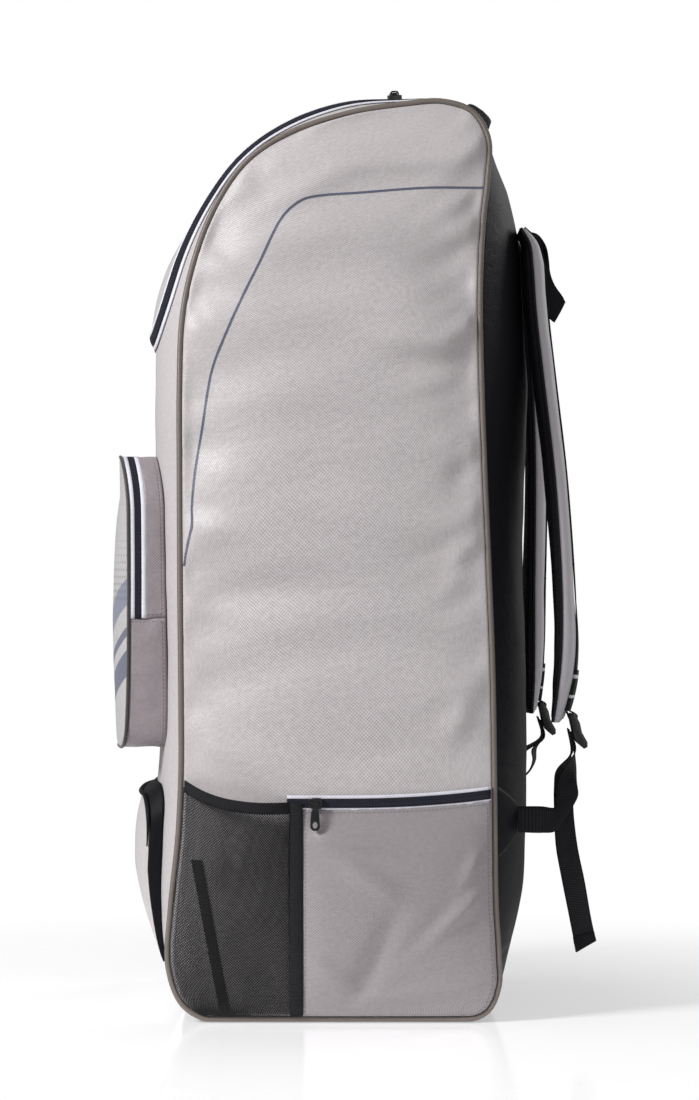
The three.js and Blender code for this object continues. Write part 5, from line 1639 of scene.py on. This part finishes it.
def add_wing(side, hand):
    """The sewn triangle that holds a strap's lower webbing."""

    def place(row, column):
        x = mix(WING_REACH, BAND_EDGE - GAP, column)
        z = WING_HEIGHT + (row - 0.5) * mix(WING_TIP, WING_ROOT, column)
        return back_point(side * x, z, SEAT + TRIM + 0.5 * math.sin(math.pi * row))

    cloth_piece(f"anchor_wing_{hand}", 16, 14, place, tiled(*WING_CLOTH), black_cloth, "black_cloth", TRIM)


def add_straps():
    for side, hand in HANDS:
        add_strap(side, hand)
        add_wing(side, hand)
        add_buckle(side, hand)
        add_buckle_loop(side, hand)
    loose_webbing("lower_webbing_right", LOWER_WEBBING_RIGHT)
    loose_webbing("lower_webbing_left", LOWER_WEBBING_LEFT)
    loose_webbing("strap_tail_right", TAIL_RIGHT)
    loose_webbing("tail_hem_right", TAIL_RIGHT, steps=16, nodes=(), start=0.945, thickness=3 * TRIM)
    loose_webbing("strap_tail_left", TAIL_LEFT)
    loose_webbing("haul_loop", HAUL_LOOP, steps=160)


# Stage

WORLD_LIGHT = 0.3
FLOOR_FADE = (0.3, 0.85)
WHITE_LIGHT = (1, 1, 1, 1)


def add_floor():
    bm = bmesh.new()
    bmesh.ops.create_grid(bm, x_segments=1, y_segments=1, size=14)
    mesh = bpy.data.meshes.new("floor")
    bm.to_mesh(mesh)
    bm.free()
    material, shader, surface = new_material("floor", 0.1, specular=0.7)
    surface.inputs["Base Color"].default_value = (0.93, 0.93, 0.94, 1)
    surface.inputs["Emission Color"].default_value = WHITE_LIGHT
    surface.inputs["Emission Strength"].default_value = 0.36
    away = shader.node("ShaderNodeVectorMath", operation="LENGTH")
    shader.link(object_place(shader), away.inputs[0])
    shader.link(shader.ramp(away.outputs["Value"], *FLOOR_FADE, 1.0, 0.0), surface.inputs["Alpha"])
    mesh.materials.append(material)
    floor = new_object("floor", mesh)
    floor.location.z = -0.0005


def add_light(name, place, target, size, power):
    data = bpy.data.lights.new(name, "AREA")
    data.shape = "RECTANGLE"
    data.size, data.size_y = size
    data.energy = power
    light = bpy.data.objects.new(name, data)
    light.location = place
    light.rotation_euler = (Vector(target) - Vector(place)).to_track_quat("-Z", "Y").to_euler()
    bpy.context.collection.objects.link(light)


def add_studio():
    world = bpy.data.worlds.new("studio")
    world.use_nodes = True
    shader = Shader(world.node_tree)
    seen = shader.node("ShaderNodeLightPath").outputs["Is Camera Ray"]
    background = world.node_tree.nodes["Background"]
    background.inputs["Color"].default_value = WHITE_LIGHT
    shader.link(shader.ramp(seen, 0.0, 1.0, WORLD_LIGHT, 1.0), background.inputs["Strength"])
    bpy.context.scene.world = world
    bpy.context.scene.view_settings.view_transform = "Standard"
    add_light("key", (1.6, -2.4, 2.0), (0, -0.05, 0.5), (0.8, 0.8), 110)
    add_light("fill", (2.8, 1.4, 0.7), (0, 0.1, 0.4), (1.2, 1.6), 15)
    add_light("rim", (-2.2, 2.4, 1.9), (0, 0, 0.6), (1.2, 1.6), 30)
    add_light("front", (-0.6, -3.0, 1.2), (0, 0, 0.5), (1.4, 1.8), 6)


add_camera()
add_shell()
add_main_zip()
add_front_pocket()
add_lower_pocket()
add_side_pockets()
add_line()
add_moulded()
add_handle()
add_straps()
add_floor()
add_studio()
